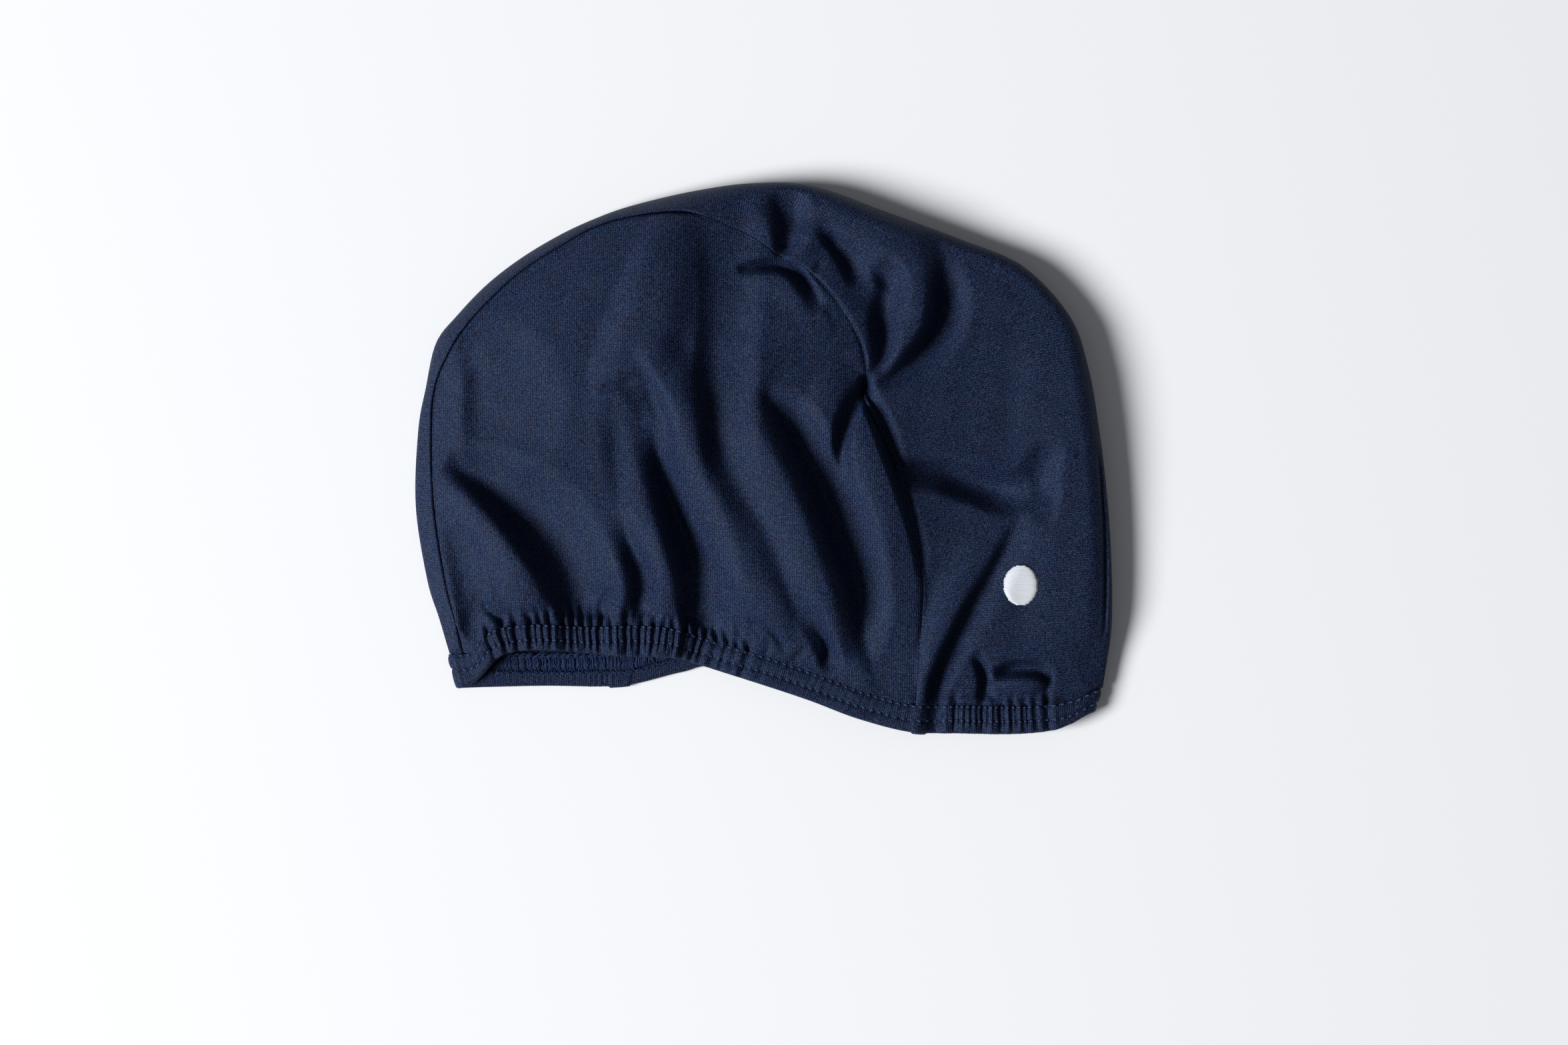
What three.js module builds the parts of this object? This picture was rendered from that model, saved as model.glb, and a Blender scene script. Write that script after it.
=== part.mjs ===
// Fabric swim cap lying on its side: two side panels, a centre panel from nape to forehead,
// an elastic hem round the head opening and a small embroidered patch on the front.
// Millimetres. +X is toward the forehead, +Y toward the crown, +Z up from the floor.
import * as THREE from 'three';

// Driving sizes.
const WALL = 1.2;            // doubled swim cloth
const GAP = 0.35;            // space between sewn pieces
const HEM_THICK = 2.6;       // folded casing with its elastic
const HEM_CORNER = 0.8;      // rounding of the casing edges
const HEM_BLEND = 26;        // height over which the pillow shape settles down to the hem
const MIN_HEIGHT = 4.6;      // the near cloth never sinks below this
const GATHER_PITCH = 7.5;    // small gathers where the elastic draws the cloth in
const GATHER_RISE = 0.9;
const GATHER_REACH = 20;
const GATHER_RUNS = [[-100, -22], [66, 106]];
const TOP_STEPS = 26;        // stations of the seam over the crown; the near panel has twice as many
const SIDE_STEPS = 12;       // stations of the seam up the nape and down the forehead
const STRIP_NEAR = 8;        // steps from the near seam to the rim
const STRIP_TURN = 3;        // steps round the rim
const STRIP_UNDER = 3;       // steps from the rim to the far seam
const MARK_CENTRE = [92.5, -45.5];
const MARK_SIZE = [12, 14];
const MARK_THICK = 0.9;

// Sections of the centre panel from the nape hem over the crown to the forehead hem.
// nearX, nearY: near seam; rimX, rimY, rimZ: outermost line; round: width of the rounding inside
// the rim; farX, farY: far seam on the floor; bow: how far the section sags toward the hem.
const SECTION_COLUMNS = ['nearX', 'nearY', 'rimX', 'rimY', 'rimZ', 'round', 'farX', 'farY', 'bow'];
const SECTIONS = [
  [-108.9, -69.4, -113.8, -69.1, 3.0, 10, -54.7, -70.0, 0.0],
  [-111.1, -57.1, -117.3, -56.5, 3.0, 26, -58.0, -56.0, 0.0],
  [-114.0, -43.7, -120.6, -43.5, 3.0, 34, -62.0, -42.0, 0.0],
  [-117.9, -16.7, -124.9, -17.0, 3.0, 42, -66.0, -15.0, 0.0],
  [-118.7, 10.2, -124.0, 10.0, 3.0, 48, -66.5, 8.0, 0.0],
  [-117.4, 25.4, -121.4, 25.2, 3.0, 50, -65.0, 20.0, 0.0],
  [-113.7, 38.8, -117.2, 41.0, 3.0, 50, -61.0, 32.0, 0.0],
  [-106.9, 50.6, -109.4, 52.2, 3.0, 48, -54.0, 44.0, 0.0],
  [-96.8, 61.1, -98.8, 62.8, 3.0, 44, -45.0, 55.0, 0.0],
  [-85.0, 70.0, -86.6, 71.8, 3.0, 40, -35.0, 64.0, 0.0],
  [-71.6, 77.6, -73.2, 79.6, 3.5, 36, -24.0, 71.0, 0.0],
  [-59.8, 82.3, -61.2, 85.4, 4.0, 32, -12.0, 76.5, 0.0],
  [-46.3, 86.3, -47.2, 90.0, 4.5, 28, 1.0, 81.0, 0.0],
  [-26.1, 87.7, -25.0, 95.2, 5.5, 22, 14.0, 83.5, 0.0],
  [-5.9, 80.1, -3.2, 98.4, 6.5, 16, 25.0, 84.0, 0.0],
  [4.7, 73.2, 18.0, 97.6, 7.0, 13, 37.0, 82.0, 0.0],
  [14.3, 68.3, 44.0, 88.4, 7.0, 12, 52.0, 77.0, 0.0],
  [24.4, 59.0, 70.0, 79.6, 7.0, 11, 69.0, 68.5, 0.0],
  [32.0, 48.9, 93.0, 68.6, 7.5, 10, 87.0, 57.5, 0.0],
  [37.2, 33.0, 109.6, 50.0, 8.0, 9, 100.5, 41.5, 0.0],
  [36.5, 21.2, 116.4, 32.2, 8.0, 9, 107.0, 27.0, 0.0],
  [44.6, 3.5, 120.1, 11.6, 8.0, 9, 111.0, 8.0, 0.0],
  [53.0, -21.8, 123.0, -12.0, 8.0, 9, 114.0, -16.0, 0.0],
  [57.7, -43.7, 124.9, -37.0, 8.0, 9, 115.5, -40.0, 0.5],
  [56.4, -66.0, 125.0, -61.0, 6.5, 8, 115.0, -63.0, 3.5],
  [54.9, -87.9, 122.6, -80.4, 5.2, 7, 112.0, -82.5, 7.6],
];

// Hem ring. topX, topY: edge against the cloth; lowX, lowY: free edge; mid: height of the middle
// of the casing above the floor.
const HEM_NEAR = [
  [-110.6, -70.3, -107.8, -81.6, 4.5],
  [-106.2, -70.0, -104.0, -80.0, 5.2],
  [-102.6, -68.2, -99.6, -77.2, 6.8],
  [-99.8, -64.2, -96.2, -73.2, 8.6],
  [-94.0, -60.9, -91.4, -70.0, 10.4],
  [-80.0, -59.4, -79.4, -68.6, 11.4],
  [-63.2, -60.4, -62.8, -69.9, 11.2],
  [-46.3, -59.9, -46.6, -71.2, 10.6],
  [-33.0, -60.8, -34.2, -71.4, 9.0],
  [-22.7, -63.9, -25.4, -73.6, 8.0],
  [-12.6, -67.3, -15.4, -77.2, 8.0],
  [4.2, -72.3, 1.2, -82.6, 8.2],
  [21.0, -78.2, 17.6, -88.0, 8.4],
  [37.9, -84.4, 34.4, -94.4, 8.6],
  [54.8, -88.6, 53.4, -98.6, 8.7],
  [71.6, -88.5, 71.4, -99.2, 8.8],
  [88.4, -89.0, 88.8, -99.6, 8.8],
  [103.6, -88.7, 105.0, -98.8, 8.8],
  [113.6, -86.6, 114.6, -96.6, 8.0],
];
const HEM_FAR = [
  [109.0, -85.2, 110.0, -95.8, 1.3],
  [88.0, -87.0, 88.0, -97.6, 1.3],
  [55.0, -86.4, 54.0, -97.0, 1.3],
  [20.0, -77.0, 18.0, -87.4, 1.3],
  [-14.0, -66.0, -15.6, -76.0, 1.3],
  [-30.0, -66.0, -29.0, -76.7, 1.3],
  [-46.0, -70.2, -46.4, -81.2, 1.3],
  [-75.0, -71.0, -75.0, -81.8, 1.3],
  [-100.0, -70.9, -98.6, -81.9, 1.3],
];
const HEM_FRONT_TURN = { topX: 121.7, topY: -81.7, lowX: 120.2, lowY: -92.0 };
const HEM_BACK_TURN = { topX: -113.2, topY: -70.2, lowX: -110.6, lowY: -81.8 };
const NEAR_STATIONS = 66;
const FAR_STATIONS = 26;

// Corners of the side panel on the seam, as section numbers of the table above.
const LAST = SECTIONS.length - 1;
const CORNER_BACK = 6;
const CORNER_FRONT = 19.3;

// Height of the stuffed shape between rim and hem: x, y, height.
const PILLOW = [
  [-113.7, -13.4, 11], [-80.0, 37.1, 22], [-46.3, 62.4, 23], [-21.1, 20.3, 24],
  [12.6, 45.6, 22], [21.0, -21.8, 23], [46.3, 62.4, 19], [63.1, 20.3, 16],
  [88.4, 20.3, 16], [112.0, 28.7, 19], [80.0, -38.6, 15], [113.7, -38.6, 18],
  [71.6, -72.3, 12], [112.0, -72.3, 15], [-46.3, -47.0, 20], [-71.6, -13.4, 20],
  [12.6, 91.0, 17], [63.1, 67.5, 17],
];
const PILLOW_SPREAD = 24;

// Folds of the near cloth. path: x, y pairs along the fold line; rise: height (minus is a valley);
// east, west: half widths; soft: rounding of the fold line; start, end: lengths over which it fades.
const FOLDS = [
  { name: 'nape valley',
    path: [-112.8, -5.3, -98.5, -11.3, -84.2, -23.8, -74.1, -39.5, -67.9, -53.8, -65.7, -62.2],
    rise: -7, east: 24, west: 12, soft: 0.4, start: 16, end: 2 },
  { name: 'nape ridge', path: [-120.4, -11.7, -108.6, -20.1, -97.7, -31.9, -90.1, -45.4, -86.4, -57.1],
    rise: 3, east: 10, west: 12, soft: 0.8, start: 14, end: 4 },
  { name: 'short valley', path: [-52.7, -28.5, -46.3, -36.9, -44.3, -47, -46.3, -60.2],
    rise: -3.4, east: 7, west: 7, soft: 0.5, start: 12, end: 2 },
  { name: 'back bulge', path: [-58.1, 16.9, -53.9, 0.1, -53.9, -20.1, -58.1, -40.3, -60.6, -57.1],
    rise: 3, east: 14, west: 22, soft: 0.9, start: 20, end: 10 },
  { name: 'middle valley',
    path: [-44.3, 33.8, -39.6, 10.2, -33.7, -6.6, -27.5, -23.5, -23.1, -40.3, -21.9, -63.9],
    rise: -8, east: 22, west: 12, soft: 0.5, start: 42, end: 4 },
  { name: 'middle ridge',
    path: [-46.3, 40.5, -38.7, 30.4, -32.8, 13.6, -27.5, -5, -21.1, -23.5, -10.1, -38.6, 2.5,
      -55.5, 10.9, -68.9],
    rise: 4, east: 14, west: 12, soft: 0.8, start: 18, end: 14 },
  { name: 'crown valley',
    path: [-24.4, 82.6, -22.7, 62.4, -20.2, 43.9, -17.7, 25.4, -16.3, 6.8, -14.3, -11.7, -7.6, -30.2],
    rise: -4, east: 16, west: 14, soft: 0.8, start: 30, end: 30 },
  { name: 'front ridge',
    path: [-10.1, 30.4, -5.9, 13.6, 2.5, -5, 10.9, -23.5, 19.4, -42, 27.8, -60.5, 37.9, -77.4],
    rise: 4, east: 14, west: 14, soft: 0.8, start: 30, end: 14 },
  { name: 'front valley',
    path: [-0.8, 19, 9.3, 13.6, 17.3, -1.6, 24.1, -18.4, 30.8, -35.3, 35.4, -50.4, 35.4, -65.6],
    rise: -8, east: 15, west: 16, soft: 0.6, start: 18, end: 18 },
  { name: 'seam ridge', path: [35.4, 16.9, 39.6, 3.5, 44.6, -13.4, 46.3, -35.3, 46.3, -60.5],
    rise: 3.5, east: 9, west: 20, soft: 0.8, start: 10, end: 40 },
  { name: 'seam valley', path: [36.5, 30.4, 37.9, 20.3, 44.6, 6.8, 49.7, -8.3, 53.9, -21.8, 57.6, -38.6],
    rise: -5.5, east: 20, west: 5, soft: 0.4, start: 6, end: 40 },
  { name: 'crown dent', path: [2.4, 97.8, 4.5, 87.2, 7.2, 81.4, 4.9, 73.7],
    rise: -4.5, east: 8, west: 8, soft: 0.5, start: 8, end: 2 },
  { name: 'crown arc',
    path: [14.3, 92.7, 29.5, 86.8, 43.8, 77.6, 52.2, 65.8, 54.2, 52.3, 49.3, 39.7, 39.6, 30.4],
    rise: 4, east: 9, west: 11, soft: 0.8, start: 8, end: 6 },
  { name: 'crescent valley', path: [62.3, 71.7, 66.8, 56.5, 64, 43.9, 54.4, 33.4, 44.6, 29.1, 38.4, 27.4],
    rise: -6, east: 12, west: 9, soft: 0.4, start: 16, end: 3 },
  { name: 'forehead swag', path: [50.5, -5.8, 61.5, -8, 71.6, -13, 80, -14.2, 90.1, -10, 97.1, -4.1],
    rise: -3.5, east: 15, west: 8, soft: 0.6, start: 6, end: 8 },
  { name: 'forehead crease', path: [88.4, -26, 82, -36.8, 74.2, -49.2, 67.5, -62.5, 61.4, -76.7, 60.1, -85],
    rise: -4.5, east: 10, west: 8, soft: 0.4, start: 40, end: 2 },
];

// A smooth line through the points, with all their values along it.
function spline(points, perSpan) {
  const last = points.length - 1;
  const at = (i) => {
    if (i < 0) return points[0].map((v, k) => 2 * v - points[1][k]);
    if (i > last) return points[last].map((v, k) => 2 * v - points[last - 1][k]);
    return points[i];
  };
  const out = [];
  for (let i = 0; i < last; i++) {
    const [a, b, c, d] = [at(i - 1), at(i), at(i + 1), at(i + 2)];
    for (let j = 0; j < perSpan; j++) {
      const t = j / perSpan;
      out.push(b.map((_, k) => 0.5 * (2 * b[k] + (c[k] - a[k]) * t
        + (2 * a[k] - 5 * b[k] + 4 * c[k] - d[k]) * t * t
        + (3 * b[k] - a[k] - 3 * c[k] + d[k]) * t * t * t)));
    }
  }
  out.push([...points[last]]);
  return out;
}

function rowAt(samples, perSpan, position) {
  const f = THREE.MathUtils.clamp(position * perSpan, 0, samples.length - 1);
  const i = Math.min(Math.floor(f), samples.length - 2);
  return samples[i].map((v, k) => v + (samples[i + 1][k] - v) * (f - i));
}

function measured(line) {
  const s = [0];
  for (let i = 1; i < line.length; i++) {
    s.push(s[i - 1] + Math.hypot(line[i][0] - line[i - 1][0], line[i][1] - line[i - 1][1]));
  }
  return { line, s, length: s[s.length - 1] };
}

// Nearest place on a measured line: distance, side (+1 on the right hand), length along it, index.
function nearest(curve, x, y) {
  let best = { d: Infinity, side: 1, s: 0, i: 0 };
  for (let i = 0; i < curve.line.length - 1; i++) {
    const [ax, ay] = curve.line[i];
    const vx = curve.line[i + 1][0] - ax;
    const vy = curve.line[i + 1][1] - ay;
    const wx = x - ax;
    const wy = y - ay;
    const t = THREE.MathUtils.clamp((vx * wx + vy * wy) / (vx * vx + vy * vy), 0, 1);
    const d = Math.hypot(wx - t * vx, wy - t * vy);
    if (d < best.d) {
      best = { d, side: vx * wy - vy * wx > 0 ? -1 : 1, s: curve.s[i] + t * Math.hypot(vx, vy), i: i + t };
    }
  }
  return best;
}

const smooth = (t) => THREE.MathUtils.smoothstep(t, 0, 1);

// The near cloth is a height over the floor.
const SPAN = 8;
const sectionSamples = spline(SECTIONS, SPAN);
const section = (k) => {
  const row = rowAt(sectionSamples, SPAN, k);
  return Object.fromEntries(SECTION_COLUMNS.map((name, i) => [name, row[i]]));
};
const rim = measured(sectionSamples.map((row) => [row[2], row[3]]));
const hemSamples = spline(HEM_NEAR, SPAN);
const HEM_LEAD_IN = [-116, -69.6];     // the hem's top edge is carried past both its ends
const HEM_LEAD_OUT = [[119.6, -84], [124, -80]];
const hemTop = measured([HEM_LEAD_IN, ...hemSamples.map((row) => [row[0], row[1]]), ...HEM_LEAD_OUT]);
const foldCurves = FOLDS.map((fold) => {
  const points = [];
  for (let i = 0; i < fold.path.length; i += 2) {
    points.push([fold.path[i], fold.path[i + 1]]);
  }
  return measured(spline(points, 6));
});

function pillow(x, y) {
  let sum = 0;
  let weight = 1e-9;
  for (const [px, py, height] of PILLOW) {
    const w = Math.exp(-((x - px) ** 2 + (y - py) ** 2) / (2 * PILLOW_SPREAD ** 2)) + 1e-9;
    sum += w * height;
    weight += w;
  }
  return sum / weight;
}

function foldRise(fold, curve, x, y) {
  const at = nearest(curve, x, y);
  const width = at.side > 0 ? fold.west : fold.east;
  const u = at.d / width;
  const v = (Math.hypot(u, fold.soft) - fold.soft) / (Math.hypot(1, fold.soft) - fold.soft);
  if (v >= 1) return 0;
  const profile = (1 - v) ** 2 * (1 + 2 * v * fold.soft);
  return fold.rise * profile * smooth(at.s / fold.start) * smooth((curve.length - at.s) / fold.end);
}

function hemSurface(i) {
  const k = THREE.MathUtils.clamp(i - 1, 0, hemSamples.length - 1);
  const row = hemSamples[Math.round(k)];
  return row[4] + HEM_THICK / 2;
}

function nearHeight(x, y) {
  const edge = nearest(rim, x, y);
  const row = rowAt(sectionSamples, 1, edge.i);
  const [rimZ, round] = [row[4], row[5]];
  const hem = nearest(hemTop, x, y);
  const above = hem.side < 0 ? hem.d : 0;
  const settle = smooth(above / HEM_BLEND);
  const top = THREE.MathUtils.lerp(hemSurface(hem.i), pillow(x, y), settle);
  const width = THREE.MathUtils.lerp(6, round, settle);
  const e = Math.min(edge.d / width, 1);
  let z = rimZ + (top - rimZ) * Math.sqrt(1 - (1 - e) ** 2);
  const fade = smooth(edge.d / 7) * smooth(above / 9);
  FOLDS.forEach((fold, i) => {
    z += foldRise(fold, foldCurves[i], x, y) * fade;
  });
  for (const [from, to] of GATHER_RUNS) {
    const run = smooth((x - from) / 10) * smooth((to - x) / 10);
    const reach = smooth(above / 4) * smooth((GATHER_REACH - above) / GATHER_REACH);
    z += GATHER_RISE * run * reach * Math.sin(2 * Math.PI * x / GATHER_PITCH);
  }
  const floor = Math.min(MIN_HEIGHT, rimZ + edge.d * 0.4);
  return floor + 0.5 * (z - floor + Math.hypot(z - floor, 1.2)) - 0.3;
}

function material(color) {
  return new THREE.MeshStandardMaterial({ color, roughness: 0.8, metalness: 0 });
}

function gridNormals(grid) {
  return grid.map((row, i) => row.map((_, j) => {
    const up = grid[Math.min(i + 1, grid.length - 1)][j];
    const down = grid[Math.max(i - 1, 0)][j];
    const right = row[Math.min(j + 1, row.length - 1)];
    const left = row[Math.max(j - 1, 0)];
    const across = new THREE.Vector3().subVectors(right, left);
    const along = new THREE.Vector3().subVectors(up, down);
    return across.cross(along).normalize();
  }));
}

// Way the near cloth faces, from the slope of its height.
function nearNormal(x, y) {
  const h = 0.4;
  const normal = new THREE.Vector3(nearHeight(x - h, y) - nearHeight(x + h, y),
    nearHeight(x, y - h) - nearHeight(x, y + h), 2 * h);
  return normal.normalize();
}

// A sheet of cloth from a grid of outer points, thickened inward; rows run along, columns across.
function sheet(name, grid, normals, thick, color) {
  const rows = grid.length;
  const columns = grid[0].length;
  const positions = [];
  for (const inward of [0, thick]) {
    for (let i = 0; i < rows; i++) {
      for (let j = 0; j < columns; j++) {
        const p = grid[i][j].clone().addScaledVector(normals[i][j], -inward);
        positions.push(p.x, p.y, p.z);
      }
    }
  }
  const outer = (i, j) => i * columns + j;
  const inner = (i, j) => rows * columns + i * columns + j;
  const index = [];
  const quad = (a, b, c, d) => index.push(a, b, c, a, c, d);
  for (let i = 0; i < rows - 1; i++) {
    for (let j = 0; j < columns - 1; j++) {
      quad(outer(i, j), outer(i, j + 1), outer(i + 1, j + 1), outer(i + 1, j));
      quad(inner(i, j), inner(i + 1, j), inner(i + 1, j + 1), inner(i, j + 1));
    }
  }
  for (let j = 0; j < columns - 1; j++) {
    quad(outer(0, j), inner(0, j), inner(0, j + 1), outer(0, j + 1));
    quad(outer(rows - 1, j), outer(rows - 1, j + 1), inner(rows - 1, j + 1), inner(rows - 1, j));
  }
  for (let i = 0; i < rows - 1; i++) {
    quad(outer(i, 0), outer(i + 1, 0), inner(i + 1, 0), inner(i, 0));
    quad(outer(i, columns - 1), inner(i, columns - 1), inner(i + 1, columns - 1), outer(i + 1, columns - 1));
  }
  return closedMesh(name, positions, index, color);
}

function closedMesh(name, positions, index, color) {
  const geometry = new THREE.BufferGeometry();
  geometry.setAttribute('position', new THREE.Float32BufferAttribute(positions, 3));
  geometry.setIndex(index);
  geometry.computeVertexNormals();
  const mesh = new THREE.Mesh(geometry, material(color));
  mesh.name = name;
  return mesh;
}

// A patch between four sides given as functions of 0..1, evened out from its edges.
function patch(rows, columns, bottom, top, left, right, height) {
  const mix = THREE.MathUtils.lerp;
  const corner = [bottom(0), bottom(1), top(0), top(1)];
  const grid = [];
  for (let i = 0; i <= rows; i++) {
    const v = i / rows;
    const line = [];
    for (let j = 0; j <= columns; j++) {
      const u = j / columns;
      const [b, t, l, r] = [bottom(u), top(u), left(v), right(v)];
      const xy = [0, 1].map((k) => mix(b[k], t[k], v) + mix(l[k], r[k], u)
        - mix(mix(corner[0][k], corner[1][k], u), mix(corner[2][k], corner[3][k], u), v));
      line.push(new THREE.Vector3(xy[0], xy[1], height(xy[0], xy[1])));
    }
    grid.push(line);
  }
  return grid;
}

// Seam point of a section, moved into the side panel by a small step.
function seamPoint(k, side, inset) {
  const here = section(k);
  const ahead = section(Math.min(k + 0.05, LAST));
  const back = section(Math.max(k - 0.05, 0));
  const [x, y] = [`${side}X`, `${side}Y`];
  const direction = new THREE.Vector2(ahead[x] - back[x], ahead[y] - back[y]).normalize();
  return [here[x] + direction.y * inset, here[y] - direction.x * inset];
}

function byLength(line) {
  const curve = measured(line);
  return (t) => {
    const s = t * curve.length;
    let i = 0;
    while (i < curve.s.length - 2 && curve.s[i + 1] < s) i++;
    const f = (s - curve.s[i]) / (curve.s[i + 1] - curve.s[i]);
    return line[i].map((v, k) => v + (line[i + 1][k] - v) * f);
  };
}

// Section numbers at even lengths of the near seam between two sections.
function evenSections(from, to, steps) {
  const fine = Array.from({ length: 241 }, (_, i) => from + (to - from) * i / 240);
  const line = byLength(fine.map((k) => [...seamPoint(k, 'near', 0), k]));
  return Array.from({ length: steps + 1 }, (_, i) => line(i / steps)[2]);
}

const napeSections = evenSections(0, CORNER_BACK, SIDE_STEPS);
const crownSections = evenSections(CORNER_BACK, CORNER_FRONT, TOP_STEPS);
const foreheadSections = evenSections(CORNER_FRONT, LAST, SIDE_STEPS);
const allSections = [...napeSections, ...crownSections.slice(1), ...foreheadSections.slice(1)];

// A side of a panel through the seam stations, as a function of 0..1.
function seamSide(side, sections) {
  const points = sections.map((k) => seamPoint(k, side, GAP));
  return (t) => {
    const f = t * (points.length - 1);
    const i = Math.min(Math.floor(f), points.length - 2);
    return points[i].map((v, n) => v + (points[i + 1][n] - v) * (f - i));
  };
}

function nearSidePanel() {
  const left = seamSide('near', napeSections);
  const top = seamSide('near', crownSections);
  const right = seamSide('near', [...foreheadSections].reverse());
  const hemLine = hemSamples.map((row) => [row[0], row[1] + GAP]).filter(([x]) => x > -107.5 && x < 53.6);
  const bottom = byLength([left(0), ...hemLine, right(0)]);
  const grid = patch(2 * SIDE_STEPS, 2 * TOP_STEPS, bottom, top, left, right, nearHeight);
  const normals = grid.map((row) => row.map((p) => nearNormal(p.x, p.y)));
  // between two stations the seam edge is straight, like the edge of the centre panel beside it
  for (const table of [grid, normals]) {
    const topRow = table[table.length - 1];
    for (let j = 1; j < topRow.length; j += 2) topRow[j].lerpVectors(topRow[j - 1], topRow[j + 1], 0.5);
    for (let i = 1; i < table.length; i += 2) {
      for (const j of [0, topRow.length - 1]) table[i][j].lerpVectors(table[i - 1][j], table[i + 1][j], 0.5);
    }
  }
  return sheet('near_side_panel', grid, normals, WALL, 0x28324a);
}

function farSidePanel() {
  const left = seamSide('far', napeSections);
  const top = seamSide('far', crownSections);
  const right = seamSide('far', [...foreheadSections].reverse());
  const farHem = spline(HEM_FAR, SPAN).map((row) => [row[0], row[1] + GAP]).reverse();
  const between = farHem.filter(([x]) => x > -52 && x < 107);
  const bottom = byLength([left(0), ...between, right(0)]);
  const grid = patch(SIDE_STEPS, TOP_STEPS, bottom, top, left, right, () => 0).map((row) => row.reverse());
  return sheet('far_side_panel', grid, gridNormals(grid), WALL, 0x28324a);
}

// One section of the centre panel, from the near seam over the rim to the far seam.
function centreSection(k) {
  const row = section(k);
  const near = seamPoint(k, 'near', 0);
  const far = seamPoint(k, 'far', 0);
  const points = [];
  for (let j = 0; j <= STRIP_NEAR; j++) {
    const t = Math.sin(Math.PI / 2 * j / STRIP_NEAR);
    const x = THREE.MathUtils.lerp(near[0], row.rimX, t);
    const y = THREE.MathUtils.lerp(near[1], row.rimY, t) - row.bow * (t - t ** 7);
    points.push(new THREE.Vector3(x, y, j === STRIP_NEAR ? row.rimZ : nearHeight(x, y)));
  }
  const toFar = new THREE.Vector2(far[0] - row.rimX, far[1] - row.rimY);
  const span = toFar.length();
  toFar.normalize();
  const inset = Math.min(row.rimZ, span * 0.8);
  for (let j = 1; j <= STRIP_TURN; j++) {
    const a = Math.PI / 2 * j / STRIP_TURN;
    const d = inset * (1 - Math.cos(a));
    const height = row.rimZ * (1 - Math.sin(a));
    points.push(new THREE.Vector3(row.rimX + toFar.x * d, row.rimY + toFar.y * d, height));
  }
  for (let j = 1; j <= STRIP_UNDER; j++) {
    const d = THREE.MathUtils.lerp(inset, span, j / STRIP_UNDER);
    points.push(new THREE.Vector3(row.rimX + toFar.x * d, row.rimY + toFar.y * d, 0));
  }
  return points;
}

function centrePanel() {
  const grid = allSections.map((k) => centreSection(k).reverse());
  const normals = gridNormals(grid);
  const last = grid[0].length - 1;
  grid.forEach((row, i) => {
    for (let j = last; j > last - STRIP_NEAR; j--) {
      normals[i][j] = nearNormal(row[j].x, row[j].y);
    }
  });
  return sheet('centre_panel', grid, normals, WALL, 0x252e45);
}

// Hem casing: a flat rounded band swept round the opening, turning over at both ends.
function hemStations() {
  const near = spline(HEM_NEAR, SPAN);
  const far = spline(HEM_FAR, SPAN);
  const pick = (samples, t) => rowAt(samples, samples.length - 1, t);
  const stations = [];
  for (let i = 0; i <= NEAR_STATIONS; i++) stations.push(pick(near, i / NEAR_STATIONS));
  const round = (turn, before, after) => {
    const out = [];
    for (let i = 1; i < 8; i++) {
      const a = Math.PI * i / 8;
      const reach = Math.sin(a);
      const blend = (1 - Math.cos(a)) / 2;
      const at = (k) => THREE.MathUtils.lerp(before[k], after[k], blend);
      out.push([
        THREE.MathUtils.lerp(at(0), turn.topX, reach), THREE.MathUtils.lerp(at(1), turn.topY, reach),
        THREE.MathUtils.lerp(at(2), turn.lowX, reach), THREE.MathUtils.lerp(at(3), turn.lowY, reach),
        at(4),
      ]);
    }
    return out;
  };
  stations.push(...round(HEM_FRONT_TURN, stations[NEAR_STATIONS], far[0]));
  for (let i = 0; i <= FAR_STATIONS; i++) stations.push(pick(far, i / FAR_STATIONS));
  stations.push(...round(HEM_BACK_TURN, far[far.length - 1], near[0]));
  return stations;
}

function hemBand() {
  const stations = hemStations();
  const count = stations.length;
  const half = HEM_THICK / 2;
  const c = HEM_CORNER;
  const positions = [];
  const index = [];
  stations.forEach((row, i) => {
    const [before, after] = [stations[(i + count - 1) % count], stations[(i + 1) % count]];
    const top = new THREE.Vector3(row[0], row[1], row[4]);
    const low = new THREE.Vector3(row[2], row[3], row[4]);
    const width = low.distanceTo(top);
    const across = new THREE.Vector3().subVectors(low, top).normalize();
    const middle = (r) => new THREE.Vector3((r[0] + r[2]) / 2, (r[1] + r[3]) / 2, r[4]);
    const along = middle(after).sub(middle(before)).normalize();
    const facing = new THREE.Vector3().crossVectors(across, along).normalize();
    for (const [w, t] of [[0, half - c], [c, half], [width - c, half], [width, half - c],
      [width, c - half], [width - c, -half], [c, -half], [0, c - half]]) {
      const p = top.clone().addScaledVector(across, w).addScaledVector(facing, t);
      positions.push(p.x, p.y, p.z);
    }
    for (let j = 0; j < 8; j++) {
      const [a, b] = [i * 8 + j, i * 8 + (j + 1) % 8];
      const next = ((i + 1) % count) * 8;
      const [d, e] = [next + j, next + (j + 1) % 8];
      index.push(a, b, e, a, e, d);
    }
  });
  return closedMesh('hem_band', positions, index, 0x222b40);
}

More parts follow.
